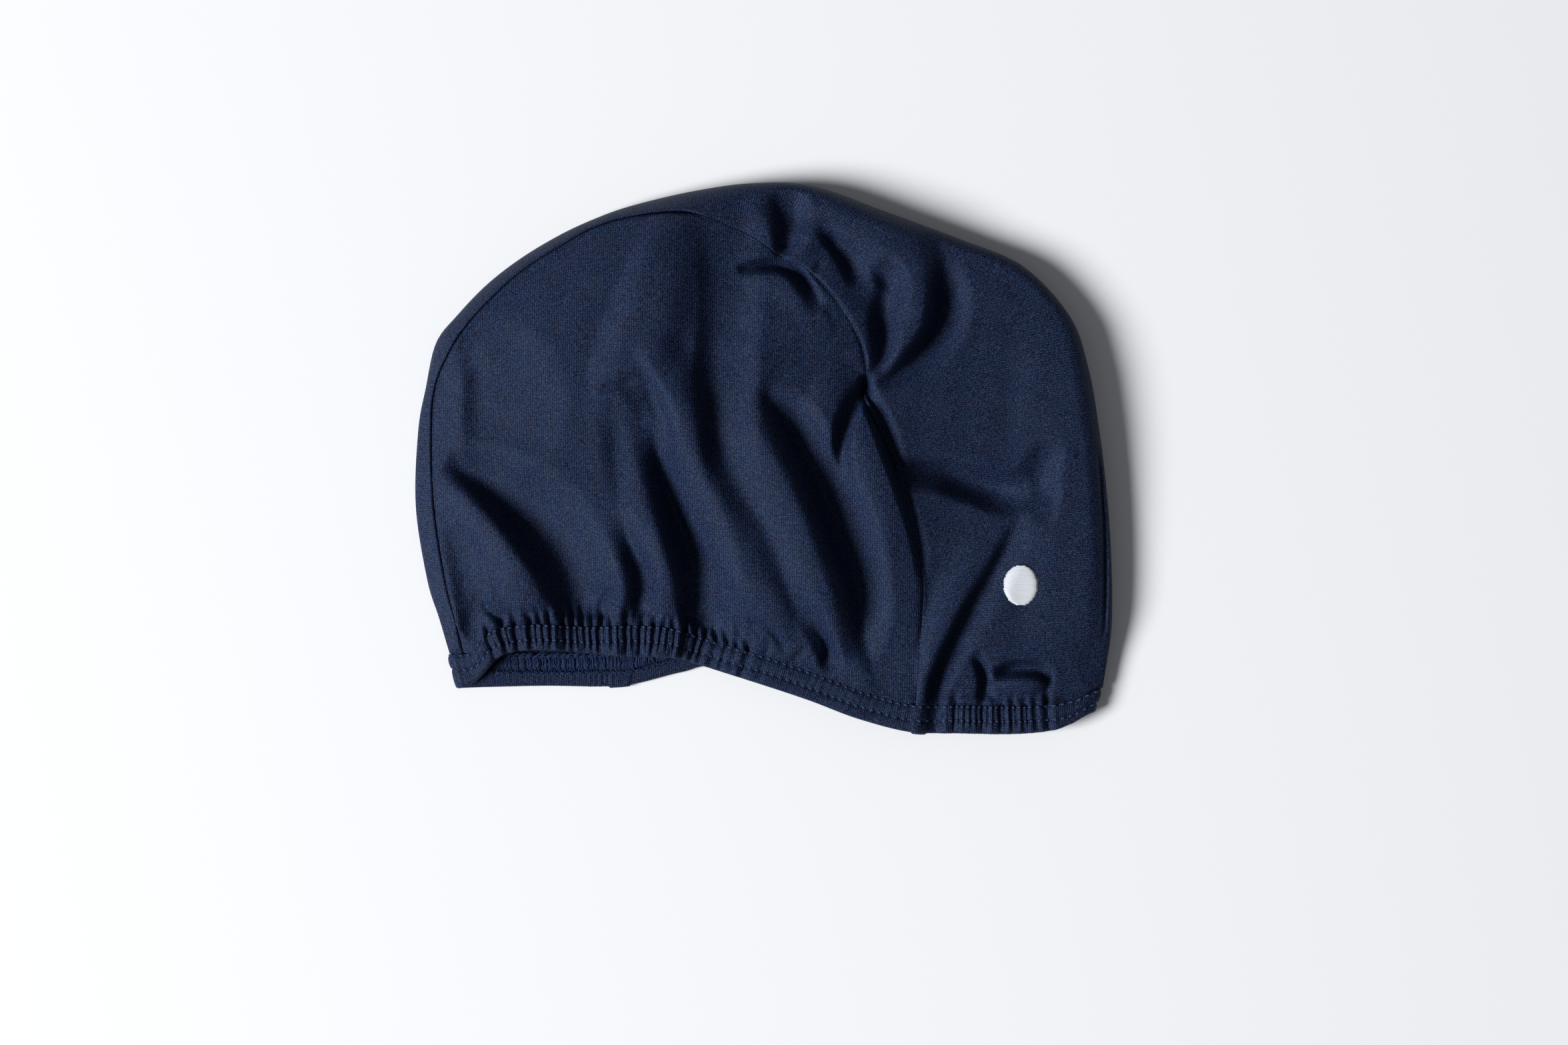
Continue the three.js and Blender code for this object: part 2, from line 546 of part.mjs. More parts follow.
function frontMark() {
  const rings = 3;
  const around = 24;
  const positions = [];
  const index = [];
  const point = (ring, a, lift) => {
    const x = MARK_CENTRE[0] + MARK_SIZE[0] / 2 * ring / rings * Math.cos(a);
    const y = MARK_CENTRE[1] + MARK_SIZE[1] / 2 * ring / rings * Math.sin(a);
    positions.push(x, y, nearHeight(x, y) + lift);
  };
  for (const lift of [GAP, GAP + MARK_THICK]) {
    point(0, 0, lift);
    for (let r = 1; r <= rings; r++) {
      for (let i = 0; i < around; i++) {
        point(r, 2 * Math.PI * i / around, r === rings && lift > GAP ? lift - 0.3 : lift);
      }
    }
  }
  const layer = 1 + rings * around;
  const at = (side, r, i) => side * layer + 1 + (r - 1) * around + i % around;
  for (let i = 0; i < around; i++) {
    index.push(0, at(0, 1, i + 1), at(0, 1, i), layer, at(1, 1, i), at(1, 1, i + 1));
    for (let r = 1; r < rings; r++) {
      index.push(at(0, r, i), at(0, r, i + 1), at(0, r + 1, i + 1));
      index.push(at(0, r, i), at(0, r + 1, i + 1), at(0, r + 1, i));
      index.push(at(1, r, i), at(1, r + 1, i + 1), at(1, r, i + 1));
      index.push(at(1, r, i), at(1, r + 1, i), at(1, r + 1, i + 1));
    }
    index.push(at(0, rings, i), at(0, rings, i + 1), at(1, rings, i + 1));
    index.push(at(0, rings, i), at(1, rings, i + 1), at(1, rings, i));
  }
  return closedMesh('front_mark', positions, index, 0xd8d8da);
}

const group = new THREE.Group();
group.name = 'swim_cap';
group.add(nearSidePanel(), centrePanel(), farSidePanel(), hemBand(), frontMark());

// the origin is the middle of the footprint, on the floor
const box = new THREE.Box3().setFromObject(group);
group.position.set(-(box.min.x + box.max.x) / 2, -(box.min.y + box.max.y) / 2, -box.min.z);

export default group;
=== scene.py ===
"""Fabric swim cap lying on its side on a pale table.

The cloth that shows is made of grids over the floor plan, lifted by one height function that
holds the stuffed shape, the folds and the gathers. Tables are in millimetres, in the frame of
the cap: +X toward the forehead, +Y toward the crown, +Z up from the table.
"""
import math

import bpy
import numpy as np
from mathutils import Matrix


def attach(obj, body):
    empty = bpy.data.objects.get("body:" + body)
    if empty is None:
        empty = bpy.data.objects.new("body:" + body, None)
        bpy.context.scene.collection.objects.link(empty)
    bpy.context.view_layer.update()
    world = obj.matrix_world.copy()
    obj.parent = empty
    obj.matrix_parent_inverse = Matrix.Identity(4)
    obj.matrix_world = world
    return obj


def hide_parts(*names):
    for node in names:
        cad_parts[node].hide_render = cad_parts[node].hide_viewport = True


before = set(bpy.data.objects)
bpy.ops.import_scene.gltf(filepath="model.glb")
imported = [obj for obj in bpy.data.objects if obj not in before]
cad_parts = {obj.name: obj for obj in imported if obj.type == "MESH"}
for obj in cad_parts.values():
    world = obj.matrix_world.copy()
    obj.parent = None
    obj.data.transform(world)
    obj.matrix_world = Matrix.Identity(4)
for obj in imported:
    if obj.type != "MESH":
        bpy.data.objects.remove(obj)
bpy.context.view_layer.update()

MM = 0.001
MIDDLE = (-0.10, 0.53)        # the tables' zero point in the frame
WALL = 1.2                    # doubled swim cloth
SEAM_GAP = 0.06               # between two sewn edges
HEM_THICK = 2.6
HEM_BLEND = 26.0              # the cloth rises to its stuffed height this far up from the hem
HEM_HOLD = 0.35               # share of a fold that still shows at the hem
HEM_FADE = 10.0               # a fold has its full depth this far up from the hem
RIM_FADE = 7.0                # and this far in from the rim
HEM_ROUNDING = 6.0            # rounding of the rim where it meets the hem
RIM_SLOPE = 0.4               # the cloth's least rise for each millimetre in from the rim
MIN_HEIGHT = 4.6              # it is never lower than this further in
FLOOR_ROUNDING = 1.2          # valleys that would go lower are rounded off
FLOOR_SINK = 0.3
GATHER_DEPTH = 2.5            # how much deeper the gathers are than their table says
GATHER_SOFT = 0.6             # rounding of their fold lines
GATHER_FADE = 3.0
HEM_ROLL = 1.3                # height of the roll just above the ruched hem
ROLL_UP = 2.2                 # how far above the hem the roll lies, and how wide it is
ROLL_WIDTH = 1.6
SLACK = 0.12                  # slow unevenness of the whole cloth
SLACK_FADE = 8.0
SLACK_WAVES = ((0.31, 0.17, 0), (-0.11, 0.23, 1.3))
PILLOW_SPREAD = 24.0
PER_SPAN = 16                 # points of a smooth line between two rows of its table
FOLD_PER_SPAN = 6
CORNER_BACK = 6.0             # sections where the side panel's outline has its corners
CORNER_FRONT = 19.3

# Sections of the centre panel, nape hem to forehead hem: near seam x y, rim x y z, rounding
# inside the rim, far seam x y, sag toward the hem. The near cloth's rim follows them too.
SECTIONS = (
    (-107.4, -69.6, -112.3, -69.4, 3, 8, -54.7, -70, 0),
    (-110.3, -57.1, -116.4, -56.5, 3, 20, -58, -56, 0),
    (-113.6, -43.7, -120.4, -43.5, 3, 28, -62, -42, 0),
    (-117.7, -16.7, -124.5, -17, 3, 36, -66, -15, 0),
    (-118.5, 10.2, -123.6, 10, 3, 40, -66.5, 8, 0),
    (-117.2, 25.4, -120.9, 25.2, 3, 42, -65, 20, 0),
    (-112, 37.6, -117.2, 41.5, 3, 42, -61, 32, 0),
    (-105, 48.2, -109.6, 51.4, 3, 40, -54, 44, 0),
    (-95.6, 58.2, -98.8, 62.6, 3, 38, -45, 55, 0),
    (-84.6, 67.8, -86.6, 72, 3, 34, -35, 64, 0),
    (-71.8, 75.9, -73.2, 80, 3.5, 30, -24, 71, 0),
    (-59.8, 82.5, -61.2, 85.6, 4, 26, -12, 76.5, 0),
    (-46.3, 86.3, -47.2, 90.6, 4.5, 22, 1, 81, 0),
    (-26.1, 87.5, -25, 95.8, 5.5, 12, 14, 83.5, 0),
    (-5.9, 80.1, -3.2, 98.6, 7.5, 6, 25, 84, 0),
    (4.7, 73.2, 18, 97.6, 8.5, 4.5, 37, 82, 0),
    (14.3, 68.3, 44, 88.4, 8.5, 4.5, 52, 77, 0),
    (24.4, 59, 70, 78.8, 8.5, 4.5, 69, 68.5, 0),
    (32, 48.9, 93.2, 68.9, 9, 4.5, 87, 57.5, 0),
    (37.2, 33, 110.2, 50.8, 9, 4.5, 100.5, 41.5, 0),
    (36.5, 21.2, 116.8, 32.4, 9, 4.5, 107, 27, 0),
    (44.6, 3.5, 120.5, 11.7, 9, 4.5, 111, 8, 0),
    (53, -21.8, 123.4, -12, 9, 4.5, 114, -16, 0),
    (57.7, -43.7, 125.1, -37, 8.5, 4.5, 115.5, -40, 0.5),
    (56.4, -66, 125.2, -61.4, 7, 4.5, 115, -63, 3.5),
    (54.9, -87.9, 122.2, -80.4, 5, 4.5, 112, -82.5, 7),
)

# The casing's near and far runs: top edge x y, free edge x y, height of its middle.
HEM_NEAR = (
    (-109.2, -70.3, -106.6, -82.2, 4.5),
    (-105.4, -70, -102.8, -80.2, 5.2),
    (-102.6, -68.2, -99.6, -77.2, 6.8),
    (-99.8, -64.2, -96.2, -73.2, 8.6),
    (-94, -60.9, -91.4, -70, 10.4),
    (-80, -59.4, -79.4, -68.6, 11.4),
    (-63.2, -60.4, -62.8, -69.9, 11.2),
    (-46.3, -59.9, -46.6, -71.2, 10.6),
    (-33, -60.8, -34.2, -71.4, 9),
    (-22.7, -63.9, -25.4, -73.4, 8),
    (-12.6, -67.1, -15.4, -76.4, 8),
    (4.2, -72, 1.2, -81.6, 8.2),
    (21, -77.9, 17.6, -87.1, 8.4),
    (37.9, -84.2, 34.4, -93.4, 8.6),
    (54.8, -88.4, 53.4, -98.2, 8.7),
    (71.6, -88.5, 71.4, -98.6, 8.6),
    (88.4, -88.8, 88.8, -98.9, 8.2),
    (102.6, -88.4, 103.4, -97.8, 7.4),
    (112, -86.8, 111.2, -95.2, 6.4),
)
HEM_FAR = (
    (107, -85.2, 108, -94.6, 1.3),
    (88, -87, 88, -96.8, 1.3),
    (55, -86.4, 54, -96.6, 1.3),
    (20, -77, 18, -86.8, 1.3),
    (-14, -66, -15.6, -75.4, 1.3),
    (-30, -66, -29, -76.9, 1.3),
    (-46, -70.2, -46.4, -81.2, 1.3),
    (-60, -70.8, -60, -82, 1.3),
    (-78, -71, -78, -81.8, 1.3),
    (-98.6, -70.9, -97.4, -82.2, 1.3),
)
FRONT_TURN = (120.8, -82.4, 118, -91.2)
BACK_TURN = (-111.8, -70.2, -108.6, -82.6)

# The runs where the cloth rolls over the hem: x where it starts, fade, x where it ends, fade.
ROLLED_RUNS = ((-102, 6, -16, 8), (62, 4, 108, 4))

# Height of the stuffed shape between rim and hem: x, y, height.
PILLOW = (
    (-113.7, -13.4, 11), (-80, 37.1, 22), (-46.3, 62.4, 23), (-21.1, 20.3, 24),
    (12.6, 45.6, 22), (21, -21.8, 23), (46.3, 62.4, 19), (63.1, 20.3, 16),
    (88.4, 20.3, 15), (112, 28.7, 14), (80, -38.6, 14), (113.7, -38.6, 13),
    (71.6, -72.3, 12), (112, -72.3, 9.5), (-46.3, -47, 20), (-71.6, -13.4, 20),
    (12.6, 91, 15), (63.1, 67.5, 13),
)

# Folds of the near cloth: name, rounding of the fold line, then along it x, y, rise (minus is a
# valley), width of the left-hand flank and of the right-hand flank.
FOLDS = (
    ("nape valley", 0.35, (
        (-113.6, -1.5, 0, 8, 6), (-107, -4.2, -3.4, 11, 7.5), (-100.6, -7.6, -5.8, 15, 8.5),
        (-94.4, -12.4, -7.4, 18, 9.5), (-87.8, -18.6, -8.8, 21, 10.5), (-79.4, -27, -9.6, 22, 12),
        (-71, -37.5, -9.8, 21, 12), (-66.6, -47.5, -8.8, 19, 12), (-62.6, -57, -7, 17, 11.5),
        (-60.5, -64.5, -5.5, 16, 11),)),
    ("nape ridge", 0.7, (
        (-117, -2, 0, 6, 7), (-111, -10, 3, 7, 8), (-104, -17, 4, 8, 10),
        (-95.6, -25.6, 4.4, 8, 11), (-89, -35, 4.4, 8, 11), (-84.8, -44, 4, 8, 11),
        (-81.2, -53, 2.8, 8, 11), (-79, -61, 1.5, 8, 11),)),
    ("short valley", 0.35, (
        (-51.6, -22, 0, 6, 6), (-48.6, -29, -2, 7, 6.5), (-46, -35, -3.8, 8, 6.5),
        (-43.8, -41.3, -5, 8, 6.5), (-43.4, -48.7, -5.4, 8, 6.5), (-44.4, -56.3, -5, 8, 6.5),
        (-46.4, -61.4, -4, 7, 6),)),
    ("short ridge", 0.7, (
        (-53.5, -23, 0, 4, 12), (-50.2, -34.6, 1.6, 4, 12), (-48.4, -45.4, 2, 4, 12),
        (-49.4, -55.5, 1.4, 4, 11), (-50.2, -61.4, 1, 4, 10),)),
    ("middle valley", 0.3, (
        (-42.9, 28.7, 0, 14, 9), (-39.6, 10.2, -2, 17, 9), (-36.4, -1.6, -5, 18, 9),
        (-32, -13.4, -7.5, 18, 10), (-27.6, -26.8, -9, 18, 10), (-23.8, -40.3, -9.4, 18, 10),
        (-22.6, -52.1, -9, 17, 10), (-20.8, -61, -8, 15, 9), (-19.6, -68.5, -7, 13, 9),)),
    ("middle crest", 0.7, (
        (-45.5, 26, 0, 5, 10), (-42.9, 13.6, 1.4, 5, 11), (-41.3, -3.3, 3, 5, 12),
        (-38.7, -16.7, 4.1, 5, 13), (-34.5, -31.9, 4.5, 5, 12), (-31.9, -47, 4, 5, 11),
        (-31.2, -60.5, 2.5, 5, 10),)),
    ("long ridge", 0.7, (
        (-42.4, 43, 0, 10, 7), (-39, 36, 1.6, 13, 6), (-35.8, 29.4, 3.4, 14, 5.6),
        (-32.4, 22, 5.2, 13, 5.6), (-29.4, 14, 5.6, 13, 6), (-28, 6, 5.6, 13, 6.5),
        (-26.4, -2, 5.4, 13, 7.5), (-23.6, -11, 5, 14, 8.5), (-19.2, -21, 4.6, 15, 10),
        (-13, -30.5, 4, 16, 11), (-6.4, -39.5, 3.4, 15, 11), (-1.4, -47.5, 3.2, 12, 10),
        (3, -55, 3, 9, 9), (6, -62, 1.6, 7, 8), (8, -69, 0, 5, 7),)),
    ("crown swell", 0.9, (
        (-30, 87, 0, 12, 10), (-33.6, 77, 2, 15, 12), (-37, 65, 3.6, 18, 13),
        (-41, 52, 4, 19, 14), (-46, 40, 3.2, 18, 14), (-50, 30, 2, 15, 13),
        (-53, 20, 0.8, 12, 12), (-56, 11, 0, 10, 12),)),
    ("crown valley", 0.8, (
        (-14, 84, 0, 12, 9), (-13.6, 70, -1.8, 14, 10), (-13.4, 57, -2.6, 15, 10),
        (-14.4, 42, -4.2, 15, 10.5), (-15, 30, -5.2, 15, 10), (-14.4, 18, -5, 15, 9.5),
        (-14, 6, -3.4, 14, 9), (-13.2, -4, -1.6, 13, 8), (-12, -13, 0, 12, 8),)),
    ("front crest", 0.7, (
        (-2, 44, 0, 14, 16), (-5.1, 31, 1.6, 13, 18), (-4.6, 20.3, 3.2, 8, 19), (2.5, 10.2, 4, 7, 19),
        (9.3, -3.3, 4.5, 7, 19), (15.7, -20.1, 4.5, 7, 18), (21, -35.3, 4.5, 7, 17),
        (26.1, -47, 4, 7, 16), (29.8, -58.8, 3, 6, 14), (32.8, -72.3, 2, 6, 12),
        (37, -84.1, 1, 6, 10),)),
    ("front valley", 0.35, (
        (-5.1, 20.6, 0, 8, 8), (2.5, 18.3, -3, 10, 10), (10.9, 10.9, -7, 12, 12),
        (18.5, -2.6, -9, 13, 12), (25.3, -17.7, -9.5, 14, 12), (30.8, -32.9, -9, 14, 12),
        (34.5, -46.4, -8, 13, 11), (35.5, -57.1, -6, 12, 10), (35.2, -66.4, -3.5, 10, 9),
        (36.2, -74, 0, 8, 8),)),
    ("seam ridge", 0.7, (
        (35.2, 22.6, 0, 5, 10), (37.4, 16.4, 2.2, 5, 14), (40.2, 8.6, 3.5, 5, 15),
        (44.3, -3.3, 4.5, 5, 17), (48.3, -16.7, 4, 5, 17), (51.7, -30.2, 3, 5, 17),
        (53.4, -43.7, 2, 6, 16), (53.4, -57.1, 1, 6, 14), (53, -67.2, 0, 6, 12),)),
    ("seam valley", 0.3, (
        (36.8, 30, 0, 3, 2.6), (37, 25.4, -3.6, 3.8, 3), (38, 20.2, -5, 4.8, 3.6),
        (41.6, 12.4, -5.4, 5.5, 4), (45, 2.8, -5.6, 5.5, 4), (48.2, -6.7, -5, 5, 3.6),
        (51.1, -16.5, -3.2, 4, 3), (54, -26, -2.2, 3.6, 3), (56.4, -36, -1.5, 3.4, 3),
        (57.6, -44.5, 0, 3, 3),)),
    ("hook crease", 0.3, (
        (37.6, 30.4, 0, 2.4, 3), (36.8, 26.8, -3, 3, 3.6), (35, 21.8, -4.6, 3.4, 4.4),
        (31.6, 15.8, -5.4, 4, 5), (29.4, 10, -5.2, 4, 5.2), (28.8, 4, -4.4, 4, 5.2),
        (29.6, -2.4, -1.8, 4, 5), (30.6, -8, 0, 4, 5),)),
    ("hook crest", 0.7, (
        (33.4, 31.4, 0, 4, 9), (28, 23.6, 2, 4, 11), (24.4, 14, 2.6, 4, 13),
        (23.8, 3.5, 2, 4, 12), (25.4, -7.6, 0, 4, 10),)),
    ("crown edge crease", 0.35, (
        (-9, 67.4, 0, 2, 3.4), (-5.4, 68, -2.8, 2.4, 4), (0.6, 69, -6, 2.6, 4.6),
        (6.4, 69.2, -7, 2.6, 4.8), (11.4, 67.2, -6.2, 2.6, 5), (15.6, 62.8, -4.8, 2.6, 5.4),
        (18.8, 57.6, -3, 2.6, 5.6), (21.2, 51.6, 0, 2.6, 5.6),)),
    ("crown edge bulge", 0.8, (
        (-6.7, 64.1, 0, 4, 10), (4.2, 64.8, 1.5, 4, 10), (14.3, 59.4, 1.5, 4, 10),
        (21, 49.8, 0.8, 4, 10), (23.6, 42.2, 0, 4, 10),)),
    ("crown dent", 0.6, (
        (6.4, 99.4, 0, 6, 10), (9.8, 93, -2.6, 7, 12), (11, 86, -4.2, 6.4, 11),
        (9.8, 79.6, -4.4, 5.4, 8), (8, 74.6, -3.4, 4.2, 5), (6.2, 70.4, 0, 3, 3),)),
    ("crown dent crest", 0.7, (
        (1, 96.9, 0, 3, 12), (3, 87.7, 1.6, 3, 12), (4.6, 80.9, 1.6, 3, 11), (5.6, 75, 0, 3, 8),)),
    ("pinch ridge", 0.6, (
        (11.6, 73, 0, 6, 5), (16, 77, 2, 7, 6), (20.6, 79.4, 2.2, 7, 6), (25, 78, 0, 6, 5),)),
    ("pinch crease", 0.35, (
        (20, 84, 0, 5, 3.4), (22.8, 79.8, -2, 5.4, 3.8), (26.6, 75.4, -3.8, 6, 4.4),
        (30.4, 70.6, -4.8, 7, 5), (32.8, 65.4, -3.4, 7, 5), (34, 60.6, 0, 6, 4),)),
    ("soft dimple", 0.8, (
        (41.6, 70.6, 0, 6, 7), (45.4, 66, -2.6, 6, 7), (46.8, 60.6, -3, 6, 7),
        (46.2, 55, -1.4, 5, 7), (45, 50, 0, 5, 6),)),
    ("seam lip", 0.5, (
        (5.2, 73.3, 0, 6, 1.2), (9.3, 71.7, 0.7, 8, 1.2), (15.1, 68.6, 1, 9, 1.2),
        (21.9, 62.9, 1.1, 9, 1.2), (27.9, 55.8, 1.2, 9, 1.2), (32.8, 48.4, 1.4, 8, 1.2),
        (36.4, 40.5, 1.4, 6, 1.2), (37.9, 34.1, 1, 4, 1.2), (37.9, 31.8, 0, 3, 1.2),)),
    ("lip tuck", 0.4, (
        (21.6, 71.2, 0, 1.4, 1.2), (20.6, 68.9, -1.1, 1.6, 1.4), (19.2, 66.6, -1.1, 1.6, 1.4),
        (18.2, 64.8, 0, 1.4, 1.2),)),
    ("pinch tuck", 0.4, (
        (15, 78.8, 0, 1.6, 1.2), (12.4, 77.6, -1.1, 1.8, 1.4), (9.4, 76, -1.4, 1.8, 1.4),
        (6.4, 74, 0, 1.6, 1.2),)),
    ("lip shadow", 0.35, (
        (41.4, 60.4, 0, 4, 5), (42.8, 54.6, -3, 5, 6), (43.6, 47.2, -5.6, 5.6, 6.6),
        (43.9, 40.3, -6.2, 5.6, 6.2), (42.8, 35.2, -5, 5, 5), (40.6, 31, -2, 4, 4),
        (39, 28.4, 0, 3, 3),)),
    ("arc ridge", 0.8, (
        (14, 94.6, 0, 8, 10), (22, 91, 1.2, 9, 11), (31.5, 86, 2.2, 13, 12),
        (44, 78, 3.4, 16, 12), (52.8, 69.4, 4.2, 13, 12), (56.6, 60, 4.6, 8, 12),
        (56.8, 50, 4.6, 7, 12), (52.4, 40.6, 4.2, 6, 11), (45, 33.1, 3, 5, 9), (38.8, 28.8, 0, 4, 5),)),
    ("crescent", 0.35, (
        (63, 71.6, 0, 8, 7), (64.8, 66.4, -2, 9, 7.6), (65.4, 58.8, -5, 10.5, 8),
        (64.4, 49.6, -7, 10.5, 8), (60, 41.4, -7.2, 10, 6.6), (52.6, 34.6, -5.4, 9, 5.6),
        (45, 29.4, -3, 7, 4.6), (39.8, 26.6, 0, 5, 4),)),
    ("forehead swag", 0.5, (
        (46.6, -5, 0, 7, 7), (51.8, -5.2, -3.4, 7, 8), (58, -5.2, -5, 7, 8),
        (64.6, -5.6, -6.4, 7, 8.6), (71, -7.6, -7.6, 7.4, 9), (77.6, -9.8, -8, 8, 9),
        (84.2, -11.4, -7.2, 8.6, 10), (90, -11.6, -5.6, 9, 11), (95.4, -9.6, -4.4, 9, 10),
        (99.4, -5, -3.4, 8.6, 8), (101.8, 1, -2, 8, 7), (102.6, 7, 0, 7, 6),)),
    ("swag end", 0.6, (
        (102.6, -3, 0, 4, 8), (103, -9, -1.8, 4, 8.4), (102.8, -14, -2.2, 4.4, 8.4),
        (101.6, -19.4, -1.2, 4.4, 8), (99.6, -24.6, 0, 4, 7),)),
    ("diagonal crease", 0.3, (
        (93.6, -20, 0, 8, 4), (86.4, -33.2, -2.4, 9, 4), (79.8, -45, -3.4, 9, 3.8),
        (73.8, -54.8, -4.4, 9, 3.6), (69.2, -64.2, -5.2, 8, 3.6), (65, -73.2, -6, 7, 3.6),
        (61.8, -80.8, -7, 6, 3.6), (60.6, -89, -7, 6, 3.6),)),
    ("diagonal crest", 0.7, (
        (87.6, -25, 0, 3.4, 10), (79.6, -37.2, 1.5, 3.6, 12), (71.6, -49.2, 2.4, 3.6, 12),
        (65, -62, 2.8, 3.6, 9), (60, -73.6, 2.6, 3.4, 6), (57.4, -87.5, 1.6, 3, 4),)),
    ("pocket crease", 0.35, (
        (82, -78.4, 0, 3, 2.6), (86, -76.6, -4, 3.6, 3.6), (90.5, -75.4, -6.4, 4, 4.4),
        (96, -75.4, -6.6, 4, 4.4), (100.2, -76.4, -6, 4, 3.8), (102.2, -79, -3, 3, 2.8),
        (102.2, -82.4, 0, 2.4, 2),)),
    ("pocket lip", 0.6, (
        (82.5, -81, 0, 2.2, 6), (91, -78.8, 2.6, 2.2, 7), (98.4, -79.2, 2.6, 2.2, 7),
        (101.4, -82.1, 0, 2.2, 6),)),
    ("corner puff", 0.35, (
        (-99.4, -49, 0, 2, 2.4), (-98.2, -53, -2.6, 2.4, 2.8), (-95.4, -56.4, -4.6, 3, 3),
        (-91.8, -58.6, -4.8, 3, 3), (-88.4, -60.2, -3, 2.6, 2.6),)),
    ("small arc", 0.4, (
        (-52.6, -45.6, 0, 1.4, 1.6), (-55.6, -49.2, -1.6, 1.4, 1.8), (-57.9, -53.2, -1.8, 1.4, 2),
        (-58.9, -57.6, 0, 1.4, 2),)),
    ("hem curl", 0.4, (
        (-5.4, -58.4, 0, 2.4, 1.4), (-2.4, -58.8, -1.4, 2.8, 1.7), (0.8, -60.2, -2, 3, 1.9),
        (4.2, -62.8, -2.3, 3, 1.9), (7, -66.6, -1.7, 2.8, 1.8), (8.4, -70.6, 0, 2.4, 1.6),)),
    ("hem pleat", 0.4, (
        (-10, -55.6, 0, 2.4, 1.5), (-9, -59.4, -1.5, 2.8, 1.9), (-7.8, -63.4, -2.2, 2.8, 1.9),
        (-6.4, -67.6, -1.8, 2.4, 1.7), (-5.6, -71, 0, 2, 1.5),)),
    ("hem notch", 0.4, (
        (1.4, -64, 0, 1.8, 1.2), (2.1, -67.2, -1.3, 2, 1.5), (1.2, -70.6, -1.4, 2, 1.5),
        (0.4, -73.6, 0, 1.6, 1.2),)),
    ("hem tuck", 0.4, (
        (16.6, -67.2, 0, 1.8, 1.4), (14.2, -69.4, -1.4, 2.2, 1.6), (11.4, -71.6, -1.6, 2.2, 1.6),
        (9.2, -73.6, 0, 1.8, 1.4),)),
    ("hem curl end", 0.4, (
        (17, -58.8, 0, 2.4, 2), (19.9, -61.8, -1.5, 2.8, 2.2), (22.6, -65, -2.2, 2.8, 2.4),
        (23.8, -68.6, -2.4, 2.6, 2.4), (22.6, -72, -1.6, 2.4, 2.2), (20.4, -75, 0, 2, 1.8),)),
    ("knee valley", 0.5, (
        (8.6, -44, 0, 7, 6), (14.6, -53.5, -1.4, 7, 6),
        (19.4, -60.5, -3, 6, 6), (22.8, -67, -4.6, 5, 5.5), (24.4, -73, -4.4, 5, 5),)),
    ("short crease", 0.3, (
        (75.6, -69.4, 0, 3, 2.6), (78.2, -74.4, -4, 3.4, 3), (79.6, -79.2, -5.4, 3.4, 3),
        (79, -84, -5.4, 3, 2.8), (79, -89.4, -5, 3, 2.6),)),
    ("short crease branch", 0.4, (
        (79.4, -81.6, 0, 1.6, 1.6), (81.8, -84.2, -2.6, 1.8, 1.8), (84, -87.4, -2.8, 1.8, 1.8),
        (85.2, -90.2, -2, 1.8, 1.8),)),
    ("front swell", 0.9, (
        (109.4, 54, 0, 10, 24), (112, 32.1, 1.8, 10, 26), (113.1, 3.5, 2, 9, 26),
        (114, -30.2, 2, 9, 26), (113.3, -55.5, 1.5, 9, 22), (112, -74, 0, 9, 20),)),
    ("knee hollow", 0.8, (
        (-46, 32, 0, 7, 8), (-43.8, 26, -1.6, 6, 8), (-40.4, 20, -1.6, 6, 7),
        (-39, 13, 0, 5, 5),)),
    ("knee crease", 0.3, (
        (-58.5, 23.6, 0, 3, 1.4), (-54, 24.6, -1.3, 3.4, 1.6), (-48.5, 25.6, -1.5, 3.4, 1.7),
        (-43.5, 27.4, 0, 3, 1.4),)),
    ("lower hollow", 0.8, (
        (-55, 22, 0, 8, 9), (-48.8, 15, -1.6, 9, 13), (-44.4, 8, -2.8, 9, 16),
        (-41, -1, -3, 9, 17), (-38, -10, -2.2, 9, 16), (-35, -18, -1.1, 9, 13),
        (-32.4, -26, 0, 8, 12),)),
    ("nape hollow", 0.9, (
        (-104.5, 47, 0, 16, 8), (-99.8, 38, -2, 22, 9.5), (-97.6, 30, -3.2, 27, 10.5),
        (-97, 20, -3.5, 30, 11), (-97, 10, -3, 28, 11), (-98.6, 1, -1.2, 18, 9),
        (-101, -6, 0, 10, 8),)),
    ("nape seam hollow", 0.8, (
        (-111, -22, 0, 6, 6), (-106.8, -32, -2, 7, 8), (-104.4, -43, -3, 7, 8),
        (-102.8, -53, -3.4, 6, 8), (-102, -62, -2.4, 5, 7),)),
)

# Folds that run along the rim itself.
RIM_FOLDS = (
    ("lip hollow", 0.6, (
        (-114.4, 23, 0, 3.4, 8), (-109.2, 35.6, -0.8, 3.5, 8), (-102.6, 45.6, -1.4, 3.6, 8),
        (-93.2, 55.4, -1.7, 3.6, 8), (-82.4, 64.8, -1.7, 3.6, 8), (-70, 72.7, -1.6, 3.6, 8),
        (-58.4, 79, -1.4, 3.6, 8), (-46, 82.6, -1, 3.6, 8), (-36, 83.4, 0, 3, 7),)),
    ("edge groove", 0.5, (
        (119.4, 5.2, 0, 1.2, 1.4), (121.2, -10, -1, 1.2, 1.4), (122.5, -26.8, -1.3, 1.3, 1.5),
        (122.9, -43.7, -1.3, 1.3, 1.5), (122.7, -58.5, -0.8, 1.2, 1.4), (122, -66.6, 0, 1.2, 1.4),)),
)

